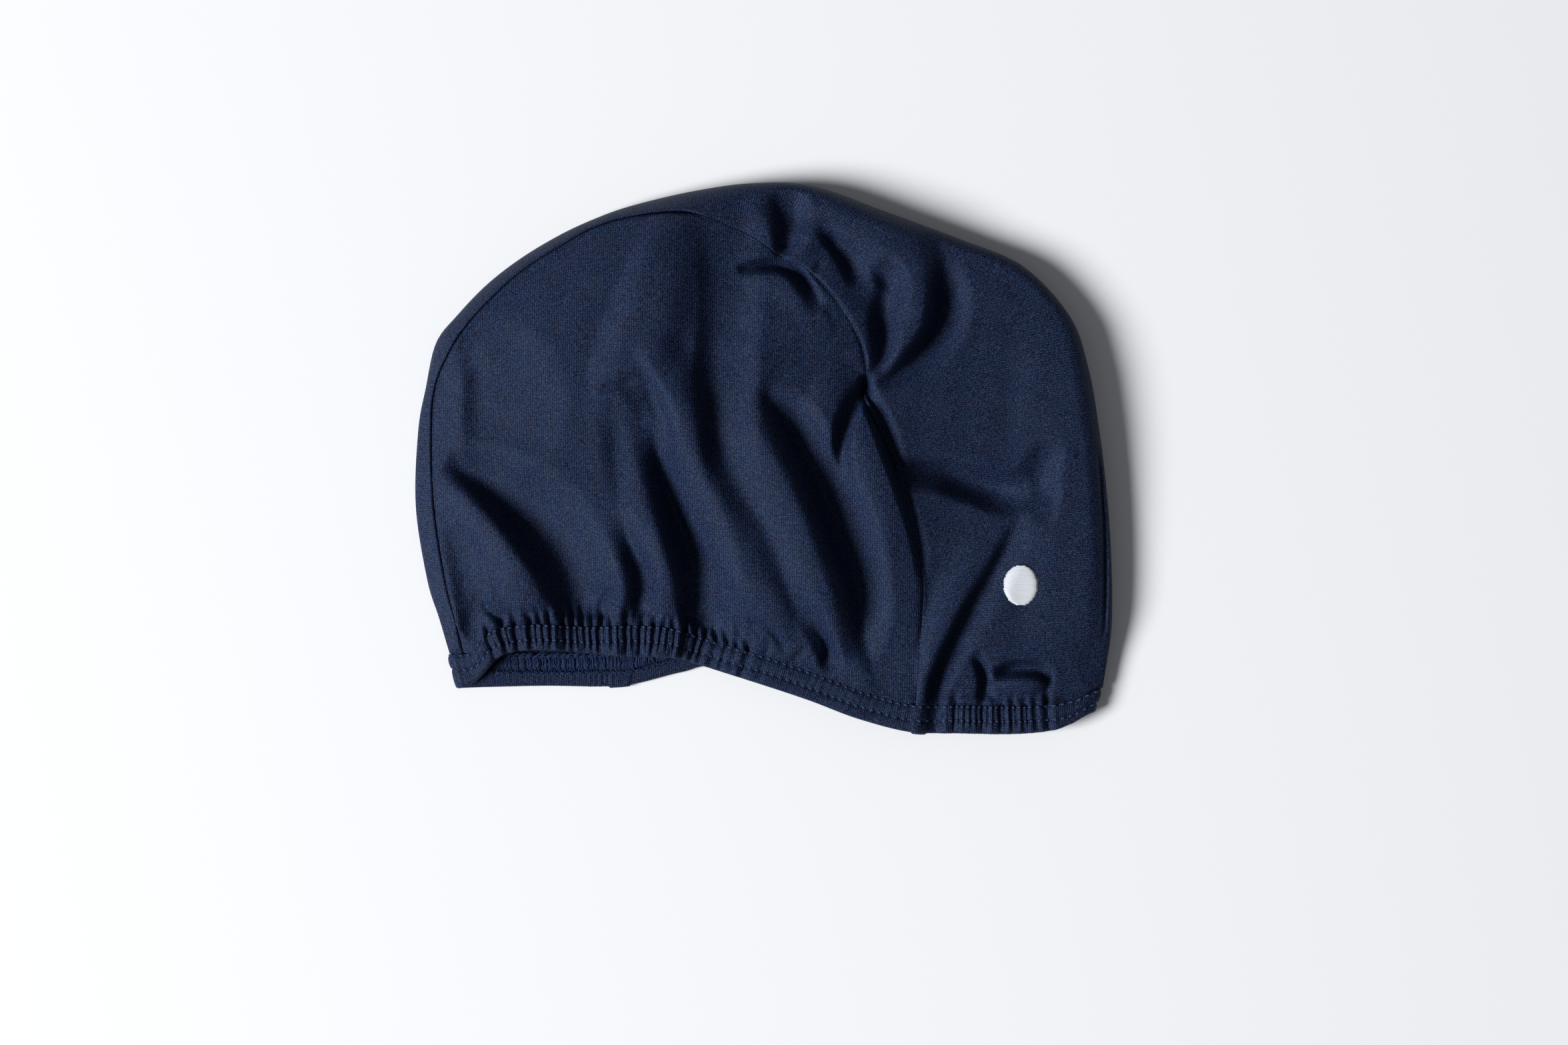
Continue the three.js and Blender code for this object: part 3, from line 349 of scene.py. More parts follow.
# Small gathers that the elastic draws in: place along x at the hem, lean, length, depth, width.
NEAR_GATHERS = (
    (-98.5, 0, 7, -1.2, 1.2), (-93.3, -0.7, 6.4, -1.2, 1.2), (-88.4, -1.3, 7, -1.4, 1.3),
    (-82.8, -2.4, 6.7, -1.4, 1.3), (-79.5, -1.3, 7.7, -1, 1.1), (-76.3, -1, 8.4, -1.3, 1.2),
    (-71.2, -1.7, 12.6, -1.5, 1.5), (-67.9, -2, 13.5, -1.6, 1.5), (-64.5, -1.3, 11.8, -1.4, 1.4),
    (-61.1, -0.3, 8.4, -1, 1.2), (-57.8, 3, 10.4, -1.6, 1.3), (-54.4, 1.7, 6.7, -0.9, 1.2),
    (-48.7, 1, 11.8, -1, 1.4), (-42.9, 1.3, 6.7, -0.9, 1.2), (-38.7, 2.4, 6.1, -1.2, 1.2),
    (-35.2, 2, 5.1, -1, 1.1), (-32, 1, 6.7, -1, 1.2), (-27.5, -0.3, 15.2, -1.6, 1.6),
    (-23.7, -1.3, 15.2, -1.4, 1.5), (-20.2, -2, 11.8, -1.4, 1.4), (-16, -3.7, 10.1, -1.2, 1.4),
    (-12.3, -2.4, 10.1, -1.1, 1.3), (-8.9, -1.7, 6.7, -0.9, 1.3), (-4.6, -1, 8.4, -1, 1.4),
)
FRONT_GATHERS = (
    (63.1, 0.7, 11.8, -1.2, 1.4), (69, 0.3, 7, -1, 1.3), (85.9, -0.7, 6, -1, 1.2),
    (89.7, -0.3, 6, -1, 1.2), (93.8, 0, 5.7, -1, 1.2), (97.8, 0.3, 5.7, -1, 1.2),
    (101.9, 0.3, 7.7, -1.6, 1.2),
)


# Curves
def rows_at(wanted, places, rows):
    """Rows in between the given ones: every column read at the wanted places."""
    return np.stack([np.interp(wanted, places, column) for column in rows.T], 1)


def spline(rows, per_span=PER_SPAN):
    """A smooth line through the rows, with all their values along it."""
    rows = np.asarray(rows, float)
    ends = np.vstack([2 * rows[:1] - rows[1:2], rows, 2 * rows[-1:] - rows[-2:-1]])
    t = (np.arange(per_span) / per_span)[:, None]
    spans = []
    for a, b, c, d in zip(ends, ends[1:], ends[2:], ends[3:]):
        spans.append(0.5 * (2 * b + (c - a) * t + (2 * a - 5 * b + 4 * c - d) * t ** 2
                            + (3 * b - a - 3 * c + d) * t ** 3))
    return np.vstack(spans + [rows[-1:]])


def lengths(line):
    """Distance along a line to each of its points."""
    steps = np.linalg.norm(np.diff(line, axis=0), axis=1)
    return np.concatenate([[0.0], np.cumsum(steps)])


def resample(line, shares):
    """Rows of a line at the given shares of its length in the plan."""
    s = lengths(line[:, :2])
    return rows_at(np.asarray(shares) * s[-1], s, line)


def smooth(t):
    """A soft step: 0 up to 0, 1 from 1."""
    t = np.clip(t, 0.0, 1.0)
    return t * t * (3 - 2 * t)


def between(x, first, fade_in, last, fade_out):
    """1 on a run along x, with a soft fade inside each of its ends, and 0 beyond them."""
    return smooth((x - first) / fade_in) * smooth((last - x) / fade_out)


def ripple(x, y, waves):
    """Slow unevenness from -1 to 1. waves: radians for each millimetre of x and of y, start."""
    return math.prod(np.sin(a * x + b * y + start) for a, b, start in waves)


BATCH = 4000                  # points measured at a time, to spare memory


class PlanLine:
    """A line on the floor plan. near() finds, for each point, the distance to it, the hand it
    lies on (+1 left, -1 right) and the values of the line's rows at the nearest place."""

    def __init__(self, rows):
        self.rows = rows
        self.s = lengths(rows[:, :2])

    def near(self, points):
        start = self.rows[:-1, :2]
        step = np.diff(self.rows[:, :2], axis=0)
        size = (step ** 2).sum(1) + 1e-12
        distance = np.empty(len(points))
        hand = np.empty(len(points))
        place = np.empty(len(points))
        for first in range(0, len(points), BATCH):
            part = slice(first, first + BATCH)
            gap = points[part, None, :] - start[None]
            t = np.clip((gap * step).sum(2) / size, 0, 1)
            off = gap - t[:, :, None] * step
            away = (off ** 2).sum(2)
            best = away.argmin(1)
            rows = np.arange(len(best))
            distance[part] = np.sqrt(away[rows, best])
            cross = step[best, 0] * gap[rows, best, 1] - step[best, 1] * gap[rows, best, 0]
            hand[part] = np.where(cross > 0, 1.0, -1.0)
            place[part] = best + t[rows, best]
        return distance, hand, rows_at(place, np.arange(len(self.rows)), self.rows)


# The near cloth as a height over the table
sections = spline(SECTIONS)
section_number = np.arange(len(sections)) / PER_SPAN
LAST_SECTION = len(SECTIONS) - 1
rim_line = PlanLine(sections[:, [2, 3, 4, 5]])
near_hem = spline(HEM_NEAR)

# The hem's top edge is carried past both its ends: x, y, height of the casing's middle.
HEM_LEAD_IN = ((-116.0, -69.6, 4.5),)
HEM_LEAD_OUT = ((118.6, -84.0, 6.4), (123.4, -79.6, 5.6))
hem_top_line = PlanLine(np.vstack([HEM_LEAD_IN, near_hem[:, [0, 1, 4]], HEM_LEAD_OUT])
                        + [0, 0, HEM_THICK / 2])


def pillow_height(points):
    """Height of the stuffed shape: its table, spread softly over the plan."""
    total = np.zeros(len(points))
    weight = np.full(len(points), 1e-9)
    for x, y, height in PILLOW:
        squared = (points[:, 0] - x) ** 2 + (points[:, 1] - y) ** 2
        share = np.exp(-squared / (2 * PILLOW_SPREAD ** 2)) + 1e-9
        total += share * height
        weight += share
    return total / weight


def fold_rise(points, line, soft):
    """What one fold adds. line rows: x, y, rise, left width, right width."""
    reach = line[:, 3:].max()
    low, high = line[:, :2].min(0) - reach, line[:, :2].max(0) + reach
    rise = np.zeros(len(points))
    inside = np.flatnonzero(((points > low) & (points < high)).all(1))
    if not len(inside):
        return rise
    distance, hand, values = PlanLine(line).near(points[inside])
    u = distance / np.where(hand > 0, values[:, 3], values[:, 4])
    v = np.clip((np.hypot(u, soft) - soft) / (math.hypot(1, soft) - soft), 0, 1)
    rise[inside] = values[:, 2] * (1 - v) ** 2 * (1 + 2 * v * soft)
    return rise


def gather_folds():
    """The small gathers as folds that start at the hem and fade upward."""
    folds = []
    top = near_hem[:, :2]
    for x, lean, length, depth, width in NEAR_GATHERS + FRONT_GATHERS:
        y = np.interp(x, top[:, 0], top[:, 1])
        rows = [(x + lean * t ** 1.5, y + length * t, GATHER_DEPTH * depth * (1 - smooth(t)),
                 width * (1 + t), width * (1 + t))
                for t in (0.0, 0.25, 0.5, 0.75, 1.0)]
        folds.append((np.array(rows), GATHER_SOFT))
    return folds


fold_lines = [(spline(rows, FOLD_PER_SPAN), soft) for name, soft, rows in FOLDS]
rim_folds = [(spline(rows, FOLD_PER_SPAN), soft) for name, soft, rows in RIM_FOLDS]
gathers = gather_folds()


def near_height(points):
    """Height of the outer face of the near cloth at points of the plan."""
    edge, _, rim = rim_line.near(points)
    rim_z, rounding = rim[:, 2], rim[:, 3]
    to_hem, hand, hem = hem_top_line.near(points)
    above = np.where(hand > 0, to_hem, 0.0)
    settle = smooth(above / HEM_BLEND)
    top = hem[:, 2] + (pillow_height(points) - hem[:, 2]) * settle
    width = HEM_ROUNDING + (rounding - HEM_ROUNDING) * settle
    share = np.clip(edge / width, 0, 1)
    z = rim_z + (top - rim_z) * np.sqrt(1 - (1 - share) ** 2)
    fade = smooth(edge / RIM_FADE) * (HEM_HOLD + (1 - HEM_HOLD) * smooth(above / HEM_FADE))
    for line, soft in fold_lines:
        z += fold_rise(points, line, soft) * fade
    for line, soft in gathers:
        z += fold_rise(points, line, soft) * smooth(edge / GATHER_FADE)
    for line, soft in rim_folds:
        z += fold_rise(points, line, soft)
    x, y = points.T
    rolled = sum(between(x, *run) for run in ROLLED_RUNS)
    z += HEM_ROLL * rolled * np.exp(-((above - ROLL_UP) / ROLL_WIDTH) ** 2)
    z += SLACK * ripple(x, y, SLACK_WAVES) * smooth(edge / SLACK_FADE)
    floor = np.minimum(MIN_HEIGHT, rim_z + edge * RIM_SLOPE)
    return floor + 0.5 * (z - floor + np.hypot(z - floor, FLOOR_ROUNDING)) - FLOOR_SINK


# Meshes
def new_mesh_object(name, vertices_mm, faces, uvs):
    """A mesh in metres in the frame of the cap, smooth shaded, with one UV pair a vertex."""
    places = vertices_mm + np.array([MIDDLE[0], MIDDLE[1], 0.0])
    mesh = bpy.data.meshes.new(name)
    mesh.from_pydata((places * MM).tolist(), [], faces)
    layer = mesh.uv_layers.new(name="cloth")
    corner = np.empty(len(mesh.loops), dtype=np.int64)
    mesh.loops.foreach_get("vertex_index", corner)
    layer.data.foreach_set("uv", uvs[corner].astype(np.float32).ravel())
    mesh.polygons.foreach_set("use_smooth", np.ones(len(mesh.polygons), bool))
    mesh.update()
    piece = bpy.data.objects.new(name, mesh)
    bpy.context.scene.collection.objects.link(piece)
    return piece


def grid_faces(rows, columns, close_rows=False, close_columns=False):
    """The four-sided faces of a grid of points, counted row by row."""
    i = np.arange(rows if close_rows else rows - 1)[:, None]
    j = np.arange(columns if close_columns else columns - 1)[None]
    i2, j2 = (i + 1) % rows, (j + 1) % columns
    return np.stack([a.ravel() for a in np.broadcast_arrays(
        i * columns + j, i * columns + j2, i2 * columns + j2, i2 * columns + j)], 1)


def row_lengths(grid):
    """Distance along each row of a grid, from the row's first point."""
    steps = np.linalg.norm(np.diff(grid, axis=1), axis=2)
    return np.concatenate([np.zeros((len(grid), 1)), np.cumsum(steps, 1)], 1)


def grid_object(name, grid, u, v, closed=False):
    """One face of cloth from a grid of points, with its cloth measures u and v."""
    rows, columns = grid.shape[:2]
    uvs = np.stack([u.ravel(), v.ravel()], 1) * MM
    return new_mesh_object(name, grid.reshape(-1, 3),
                           grid_faces(rows, columns, closed, closed).tolist(), uvs)


def thicken(piece):
    """Gives a cloth its wall, inward from the face that was made."""
    wall = piece.modifiers.new("Wall", "SOLIDIFY")
    wall.thickness = WALL * MM
    wall.offset = -1.0
    bpy.ops.object.select_all(action="DESELECT")
    bpy.context.view_layer.objects.active = piece
    piece.select_set(True)
    bpy.ops.object.modifier_apply(modifier=wall.name)
    piece.select_set(False)


def cloth_from_grid(name, grid, u, v):
    piece = grid_object(name, grid, u, v)
    thicken(piece)
    return piece


# Seams
SEAM_POINTS = 401
EDGE_STEPS = (0.0, 0.25, 0.55, 0.95, 1.5, 2.2)    # fine steps in from an edge


def seam_line(side, first, last, inset):
    """Points of a seam between two sections, moved toward the side panel by inset."""
    columns = [0, 1] if side == "near" else [6, 7]
    line = rows_at(np.linspace(first, last, SEAM_POINTS), section_number, sections[:, columns])
    way = np.gradient(line, axis=0)
    way /= np.linalg.norm(way, axis=1)[:, None]
    return line + inset * np.stack([way[:, 1], -way[:, 0]], 1)


def with_edge_steps(count, size):
    """Shares from 0 to 1 with a few extra fine steps at both ends; size is in millimetres."""
    edge = np.array(EDGE_STEPS) / size
    inner = np.linspace(edge[-1], 1 - edge[-1], count)[1:-1]
    return np.concatenate([edge, inner, 1 - edge[::-1]])


def side_patch(left, top, right, bottom, u, v):
    """Even filling between four sides of a panel, which run up or to the right, at shares u
    along its width and v along its height."""
    b, t = resample(bottom, u), resample(top, u)
    l, r = resample(left, v), resample(right, v)
    across = l[:, None] * (1 - u)[None, :, None] + r[:, None] * u[None, :, None]
    along = b[None] * (1 - v)[:, None, None] + t[None] * v[:, None, None]
    flat = (b[0] * (1 - u)[:, None] + b[-1] * u[:, None])[None] * (1 - v)[:, None, None] \
        + (t[0] * (1 - u)[:, None] + t[-1] * u[:, None])[None] * v[:, None, None]
    return across + along - flat


# The near seam by section number: how far the side panel dips at it and how far the strip
# stands over it.
SEAM_LOOK = (
    (0.0, 0.35, 0.4), (2.5, 0.4, 0.5), (5.0, 0.6, 0.7), (10.0, 0.6, 0.7), (12.2, 1.1, 0.9),
    (12.9, 1.9, 0.7), (13.3, 0.15, 0.1), (14.6, 0.2, 0.1), (15.2, 0.7, 0.0), (19.6, 0.6, 0.0),
    (20.0, 0.12, 0.0), (22.6, 0.12, 0.0), (23.4, 0.5, 0.0), (25.0, 0.6, 0.0),
)
SEAM_DIP_WIDTH = 0.9
STRIP_DIP = 0.35              # the strip's share of the dip
LIP_ROUNDING = 0.45
LIP_WIDTH = 3.0


def make_seam_line():
    """The near seam with its dip and its lift as the last two columns."""
    look = np.array(SEAM_LOOK)
    number = np.linspace(0, LAST_SECTION, SEAM_POINTS)
    return PlanLine(np.column_stack([seam_line("near", 0, LAST_SECTION, 0.0),
                                     rows_at(number, look[:, 0], look[:, 1:])]))


near_seam_line = make_seam_line()


def seam_shape(points, strip):
    """What the seam adds to the height: a dip in the side panel, a raised lip on the strip."""
    distance, _, look = near_seam_line.near(points)
    if strip:
        lip = 1 - np.exp(-((distance + 0.1) / LIP_ROUNDING) ** 2)
        lift = look[:, 3] * lip * np.exp(-(distance / LIP_WIDTH) ** 2)
        return lift - STRIP_DIP * look[:, 2] * (1 - lip)
    return -look[:, 2] * np.exp(-(distance / SEAM_DIP_WIDTH) ** 2)


SIDE_SIZE = (172.0, 120.0)    # width and height of a side panel
CORNER_CLEAR = 1.5            # the hem's own points start this far in from the panel's corners
NEAR_GRID = (196, 150)        # points across and up, besides the fine steps at the edges
FAR_GRID = (80, 60)
CREASE = 0.16                 # the few shallow creases of the cloth under the cap
CREASE_WAVES = ((0.09, 0.05, 0), (-0.03, 0.06, 0))


def side_plan(side, hem_edge, grid):
    """The floor plan of a side panel: its outline, filled with points."""
    left = seam_line(side, 0, CORNER_BACK, SEAM_GAP)
    top = seam_line(side, CORNER_BACK, CORNER_FRONT, SEAM_GAP)
    right = seam_line(side, CORNER_FRONT, LAST_SECTION, SEAM_GAP)[::-1]
    inside = (hem_edge[:, 0] > left[0, 0] + CORNER_CLEAR) & (hem_edge[:, 0] < right[0, 0] - CORNER_CLEAR)
    bottom = np.vstack([left[:1], hem_edge[inside, :2] + [0, SEAM_GAP], right[:1]])
    u, v = (with_edge_steps(count, size) for count, size in zip(grid, SIDE_SIZE))
    return side_patch(left, top, right, bottom, u, v)


def make_near_side():
    plan = side_plan("near", near_hem, NEAR_GRID)
    points = plan.reshape(-1, 2)
    z = near_height(points) + seam_shape(points, strip=False)
    grid = np.concatenate([plan, z.reshape(plan.shape[:2])[:, :, None]], 2)
    return cloth_from_grid("near_side_cloth", grid, grid[..., 0], grid[..., 1])


def make_far_side():
    """The panel under the cap, which keeps to the table but for its creases."""
    plan = side_plan("far", spline(HEM_FAR)[::-1], FAR_GRID)
    x, y = plan[..., 0], plan[..., 1]
    z = CREASE + CREASE * ripple(x, y, CREASE_WAVES)
    grid = np.concatenate([plan, z[:, :, None]], 2)[:, ::-1]
    u = row_lengths(grid)
    v = row_lengths(grid.transpose(1, 0, 2)).T
    return cloth_from_grid("far_side_cloth", grid, u - u[:, [u.shape[1] // 2]], v)


# The centre panel
STRIP_SETTLE = 12.0           # its ends are moved onto the hem over this distance
END_REACH = 40.0
STRIP_ROWS = 330
STRIP_COLUMNS = 100
NAPE_SHARE = 0.4              # how close its rows lie at the nape, against those of the crown
CROWN_START = 11.0            # section number
TURN_SHARE = 0.8              # the most of the turned-in width that the rounded rim takes
TURN_COLUMNS = 12
FLAT_COLUMNS = 15
UNDER_FADE = 8.0


def meet_hem(plan, edge_y):
    """Moves the two ends of a strip's plan onto the top edge of the casing. The move fades out
    over STRIP_SETTLE up the strip, and stays within END_REACH of each end."""
    plan = plan.copy()
    for end in (0, -1):
        move = edge_y[end] + SEAM_GAP - plan[end, :, 1]
        up = np.abs(plan[..., 1] - plan[end, :, 1])
        close = np.abs(plan[..., 0] - plan[end, :, 0]) < END_REACH
        plan[..., 1] += move * (1 - smooth(up / STRIP_SETTLE)) * close
    return plan


def strip_shares(s, index):
    """Where the strip's rows lie along the seam: STRIP_ROWS of them, close together from the
    crown to the forehead, further apart along the plain nape."""
    weight = NAPE_SHARE + (1 - NAPE_SHARE) * smooth((index - CROWN_START) / 2)
    filled = np.concatenate([[0.0], np.cumsum(np.diff(s) * (weight[1:] + weight[:-1]) / 2)])
    return np.interp(np.linspace(0, filled[-1], STRIP_ROWS), filled, s) / s[-1]


def strip_stations():
    """The strip's rows from nape to forehead: near seam, rim, rim height, far seam, sag."""
    seam = np.column_stack([sections[:, :2], section_number])
    shares = strip_shares(lengths(seam[:, :2]), section_number)
    row = rows_at(resample(seam, shares)[:, 2], section_number, sections)
    return row[:, 0:2], row[:, 2:4], row[:, 4], row[:, 6:8], row[:, 8]


def strip_top(near, rim, rim_z, sag):
    """The strip's upper side, from the near seam to the rim."""
    span = np.linalg.norm(rim - near, axis=1)
    first = (np.array(EDGE_STEPS[:5])[:, None] / span).T
    even = np.sin(np.pi / 2 * np.linspace(0, 1, STRIP_COLUMNS)) ** 0.9
    share = np.concatenate([first, first[:, -1:] + (1 - first[:, -1:]) * even[None, 1:]], 1)
    plan = near[:, None] + (rim - near)[:, None] * share[:, :, None]
    plan[..., 1] -= sag[:, None] * (share - share ** 7)
    points = plan.reshape(-1, 2)
    z = (near_height(points) + seam_shape(points, strip=True)).reshape(share.shape)
    z[:, -1] = rim_z
    plan = meet_hem(plan, near_top_edge(plan[[0, -1], :, 0]))
    return np.concatenate([plan, z[:, :, None]], 2)


def strip_under(rim, rim_z, far):
    """The strip's turn round the rim and its flat part on the table, to the far seam."""
    inward = far - rim
    width = np.linalg.norm(inward, axis=1)
    inward /= width[:, None]
    rounded = np.minimum(rim_z, width * TURN_SHARE)[:, None]
    angle = np.linspace(0, np.pi / 2, TURN_COLUMNS)[1:]
    flat = rounded + (width[:, None] - rounded) * np.linspace(0, 1, FLAT_COLUMNS)[None, 1:]
    reach = np.concatenate([rounded * (1 - np.cos(angle)), flat], 1)
    plan = rim[:, None] + inward[:, None] * reach[:, :, None]
    z = np.concatenate([rim_z[:, None] * (1 - np.sin(angle)), np.zeros(flat.shape)], 1)
    end_x, rim_x = plan[[0, -1], :, 0], rim[[0, -1], 0]
    turned = smooth(np.abs(end_x - rim_x[:, None]) / UNDER_FADE)
    wanted = near_top_edge(rim_x)[:, None] * (1 - turned) + far_top_edge(end_x) * turned
    return np.concatenate([meet_hem(plan, wanted), z[:, :, None]], 2)


def make_centre():
    """The centre panel: from the near seam over the rim and under the cap to the far seam."""
    near, rim, rim_z, far, sag = strip_stations()
    grid = np.concatenate([strip_top(near, rim, rim_z, sag), strip_under(rim, rim_z, far)], 1)
    across = row_lengths(grid)
    along = np.broadcast_to(lengths((near + rim) / 2)[:, None], across.shape)
    return cloth_from_grid("centre_cloth", grid[:, ::-1], along[:, ::-1], across[:, ::-1])


# Hem
HEM_ROWS = (0.5, 5.5)         # the two rows of stitches, down from the top edge
CHANNEL_MIDDLE = 3.0          # halfway between them, where the elastic runs
CHANNEL_PUFF = 0.35           # how far the cloth puffs out there, and below the second row
EDGE_PUFF = 0.25
HEM_FOLD = 1.2                # rounding of the free edge
HEM_CORNER = 0.3              # how far both faces draw in at the top edge
HEM_STATIONS = (960, 460)     # along the near run and the far run
HEM_TURN_STEPS = 26
HEIGHT_SMOOTHING = 23         # stations over which the near run's height is evened out
FACING_SMOOTHING = 81         # and its facing, but for a fade at both ends
FACING_FADE = 60
RUCHE_FADE = 4.0
RIB_MIDDLE = 0.7              # the ribs swing out and in about this share of their height
RIB_OUT = 0.75
RIB_IN = 0.5
RIB_LOSS = 0.8                # share of the ribs that is lost toward the free edge
RIB_KEPT = 0.6                # they are whole this far down from the second row of stitches
RIB_SPARE = 1.4               # the loss is spread over the width below that row less this
RIB_SIZES = (0.8, 1.15)       # each rib has a size of its own between these
RIB_LEAN = 0.1
RIB_CREST = 0.6               # a power: the lower it is, the fuller the ribs
FINE_RIB = 0.22
NEEDLE_DENT = (0.18, 0.25)    # depth of a row of stitches, and how much more at its holes
NEEDLE_WIDTH = 0.42

# Points round the casing: down its outer face, round its free edge in degrees, up its inner face.
HEM_OUTER = (0.0, 0.2, 0.5, 0.8, 1.2, 1.9, 2.6, 3.4, 4.2, 4.8, 5.2, 5.5, 5.8, 6.3, 7.0, 7.8, 8.6)
HEM_ROUND = (25, 50, 75, 90, 105, 130, 155)
HEM_INNER = (8.6, 7.0, 5.5, 4.0, 2.6, 1.2, 0.4, 0.0)

# Ruching along a run of the hem: from x, to x, pitch of the ribs, height of a rib.
NEAR_RUCHES = ((-99.0, -21.0, 2.45, 1.7), (67.0, 96.0, 2.05, 1.05))
FAR_RUCHES = ((-104.0, -62.0, 2.1, 0.45), (-63.0, -54.0, 1.9, 2.2))
FLAT_PITCH = 2.9
FLAT_RIB = 0.14

# Where a panel seam runs into the hem: x where it starts, fade, x where it ends, fade, thickness.
NEAR_SEAM_STEP = (54.6, 0.5, 60.2, 1.2, 0.42)
FAR_SEAM_STEP = (-55.2, 0.8, -46.4, 1.0, 0.5)
STEP_SCALLOP = 1.2            # how far the free edge bulges there, and at each rib
RIB_SCALLOP = 0.06
EDGE_DEPTH = 9.0              # how far down the ribs are read for that


def ruche(x, ruches):
    """Pitch and height of the ribs at places along a run."""
    pitch = np.full(len(x), FLAT_PITCH)
    rib = np.full(len(x), FLAT_RIB)
    for first, last, ruched_pitch, ruched_rib in ruches:
        share = smooth((x - first) / RUCHE_FADE + 0.5) * smooth((last - x) / RUCHE_FADE + 0.5)
        pitch += (ruched_pitch - pitch) * share
        rib += (ruched_rib - rib) * share
    return pitch, rib


def running_mean(values, weights):
    """Values along a run, evened out; beyond its ends they are taken to go on as they are."""
    padded = np.pad(values, len(weights) // 2, mode="edge")
    return np.convolve(padded, weights / weights.sum(), mode="valid")


def hem_turn(turn, before, after):
    """Stations of one end of the ring, where the casing turns over."""
    angle = np.pi * np.arange(1, HEM_TURN_STEPS)[:, None] / HEM_TURN_STEPS
    out = before + (after - before) * (1 - np.cos(angle)) / 2
    out[:, :4] += (np.array(turn) - out[:, :4]) * np.sin(angle)
    return out


def even_facing(facing):
    """The facing of the near run, evened out so that its ribs stay side by side."""
    even = np.stack([running_mean(column, np.ones(FACING_SMOOTHING)) for column in facing.T], 1)
    inside = np.arange(len(facing))
    share = smooth(inside / FACING_FADE) * smooth((len(facing) - inside) / FACING_FADE)
    return facing + (even - facing) * share[:, None]


def make_hem_ring():
    """The stations of the casing with their frames, ribs and stitch numbers."""
    near = resample(near_hem, np.linspace(0, 1, HEM_STATIONS[0]))
    near[:, 4] = running_mean(near_height(near[:, :2]) - HEM_THICK / 2, np.hanning(HEIGHT_SMOOTHING))
    far = resample(spline(HEM_FAR), np.linspace(0, 1, HEM_STATIONS[1]))
    front = hem_turn(FRONT_TURN, near[-1], far[0])
    rows = np.vstack([near, front, far, hem_turn(BACK_TURN, far[-1], near[0])])
    far_start = len(near) + len(front)
    is_far = np.zeros(len(rows), bool)
    is_far[far_start:far_start + len(far)] = True
    top = rows[:, [0, 1, 4]]
    low = rows[:, [2, 3, 4]]
    width = np.linalg.norm(low - top, axis=1)
    across = (low - top) / width[:, None]
    middle = (top + low) / 2
    step = np.roll(middle, -1, axis=0) - middle
    along = np.roll(middle, -1, axis=0) - np.roll(middle, 1, axis=0)
    along /= np.linalg.norm(along, axis=1)[:, None]
    facing = np.cross(across, along)
    facing[:len(near)] = even_facing(facing[:len(near)])
    facing /= np.linalg.norm(facing, axis=1)[:, None]
    near_pitch, near_rib = ruche(rows[:, 0], NEAR_RUCHES)
    far_pitch, far_rib = ruche(rows[:, 0], FAR_RUCHES)
    ribs = np.linalg.norm(step[:, :2], axis=1) / np.where(is_far, far_pitch, near_pitch)
    count = round(ribs.sum())
    number = np.concatenate([[0], np.cumsum(ribs)[:-1]]) * (count / ribs.sum())
    s = np.concatenate([[0], np.cumsum(np.linalg.norm(step, axis=1))[:-1]])
    return dict(top=top, width=width, across=across, facing=facing, number=number, count=count,
                rib=np.where(is_far, far_rib, near_rib), s=s, far=is_far, x=rows[:, 0])


def near_top_edge(x):
    """The casing's top edge under the near cloth, also round the front and back turns."""
    top = hem_ring["top"]
    edge = np.vstack([top[np.argmin(top[:, 0]):], top[:np.argmax(top[:, 0]) + 1]])
    return np.interp(x, edge[:, 0], edge[:, 1])


def far_top_edge(x):
    """The casing's top edge under the cap."""
    top = hem_ring["top"]
    edge = top[np.argmax(top[:, 0]):np.argmin(top[:, 0])][::-1]
    return np.interp(x, edge[:, 0], edge[:, 1])


def rib_height(number, w, count):
    """Height of the ruching: rounded ribs with sharp valleys, each a little different."""
    rng = np.random.default_rng(5)
    size = rng.uniform(*RIB_SIZES, count + 1)
    lean = rng.uniform(-RIB_LEAN, RIB_LEAN, count + 1)
    leaning = np.interp(number, np.arange(count + 1) + 0.5, lean) * (w - CHANNEL_MIDDLE) / CHANNEL_MIDDLE
    n = number + leaning
    whole = np.clip(np.floor(n).astype(int), 0, count)
    fine = FINE_RIB * np.abs(np.sin(2 * np.pi * n + size[whole]))
    return size[whole] * np.abs(np.sin(np.pi * n)) ** RIB_CREST + fine


def seam_step(ring):
    """The hem is thicker where a panel seam runs into it."""
    near, far = (between(ring["x"], *run) * thick for *run, thick in (NEAR_SEAM_STEP, FAR_SEAM_STEP))
    return np.where(ring["far"], far, near)


def puff(w, first, last):
    """A round rise across the casing, from 0 at the first depth to 0 at the last."""
    return np.sin(np.pi * np.clip((w - first) / (last - first), 0, 1))


def hem_face(ring, w, outward=True):
    """Distance of a face of the casing from its middle, at w down from the top edge."""
    upper, lower = HEM_ROWS
    width = ring["width"]
    fade = 1 - RIB_LOSS * smooth((w - lower - RIB_KEPT) / (width - lower - RIB_SPARE))
    rib = fade * ring["rib"] * (rib_height(ring["number"], w, ring["count"]) - RIB_MIDDLE)
    face = HEM_THICK / 2 + rib * (RIB_OUT if outward else RIB_IN) + seam_step(ring)
    face += CHANNEL_PUFF * puff(w, upper, lower) + EDGE_PUFF * puff(w, lower, width)
    if outward:
        hole = 0.5 + 0.5 * np.cos(2 * np.pi * ring["number"])
        for row in HEM_ROWS:
            dent = NEEDLE_DENT[0] + NEEDLE_DENT[1] * hole
            face -= dent * np.exp(-((w - row) / NEEDLE_WIDTH) ** 2)
    return face


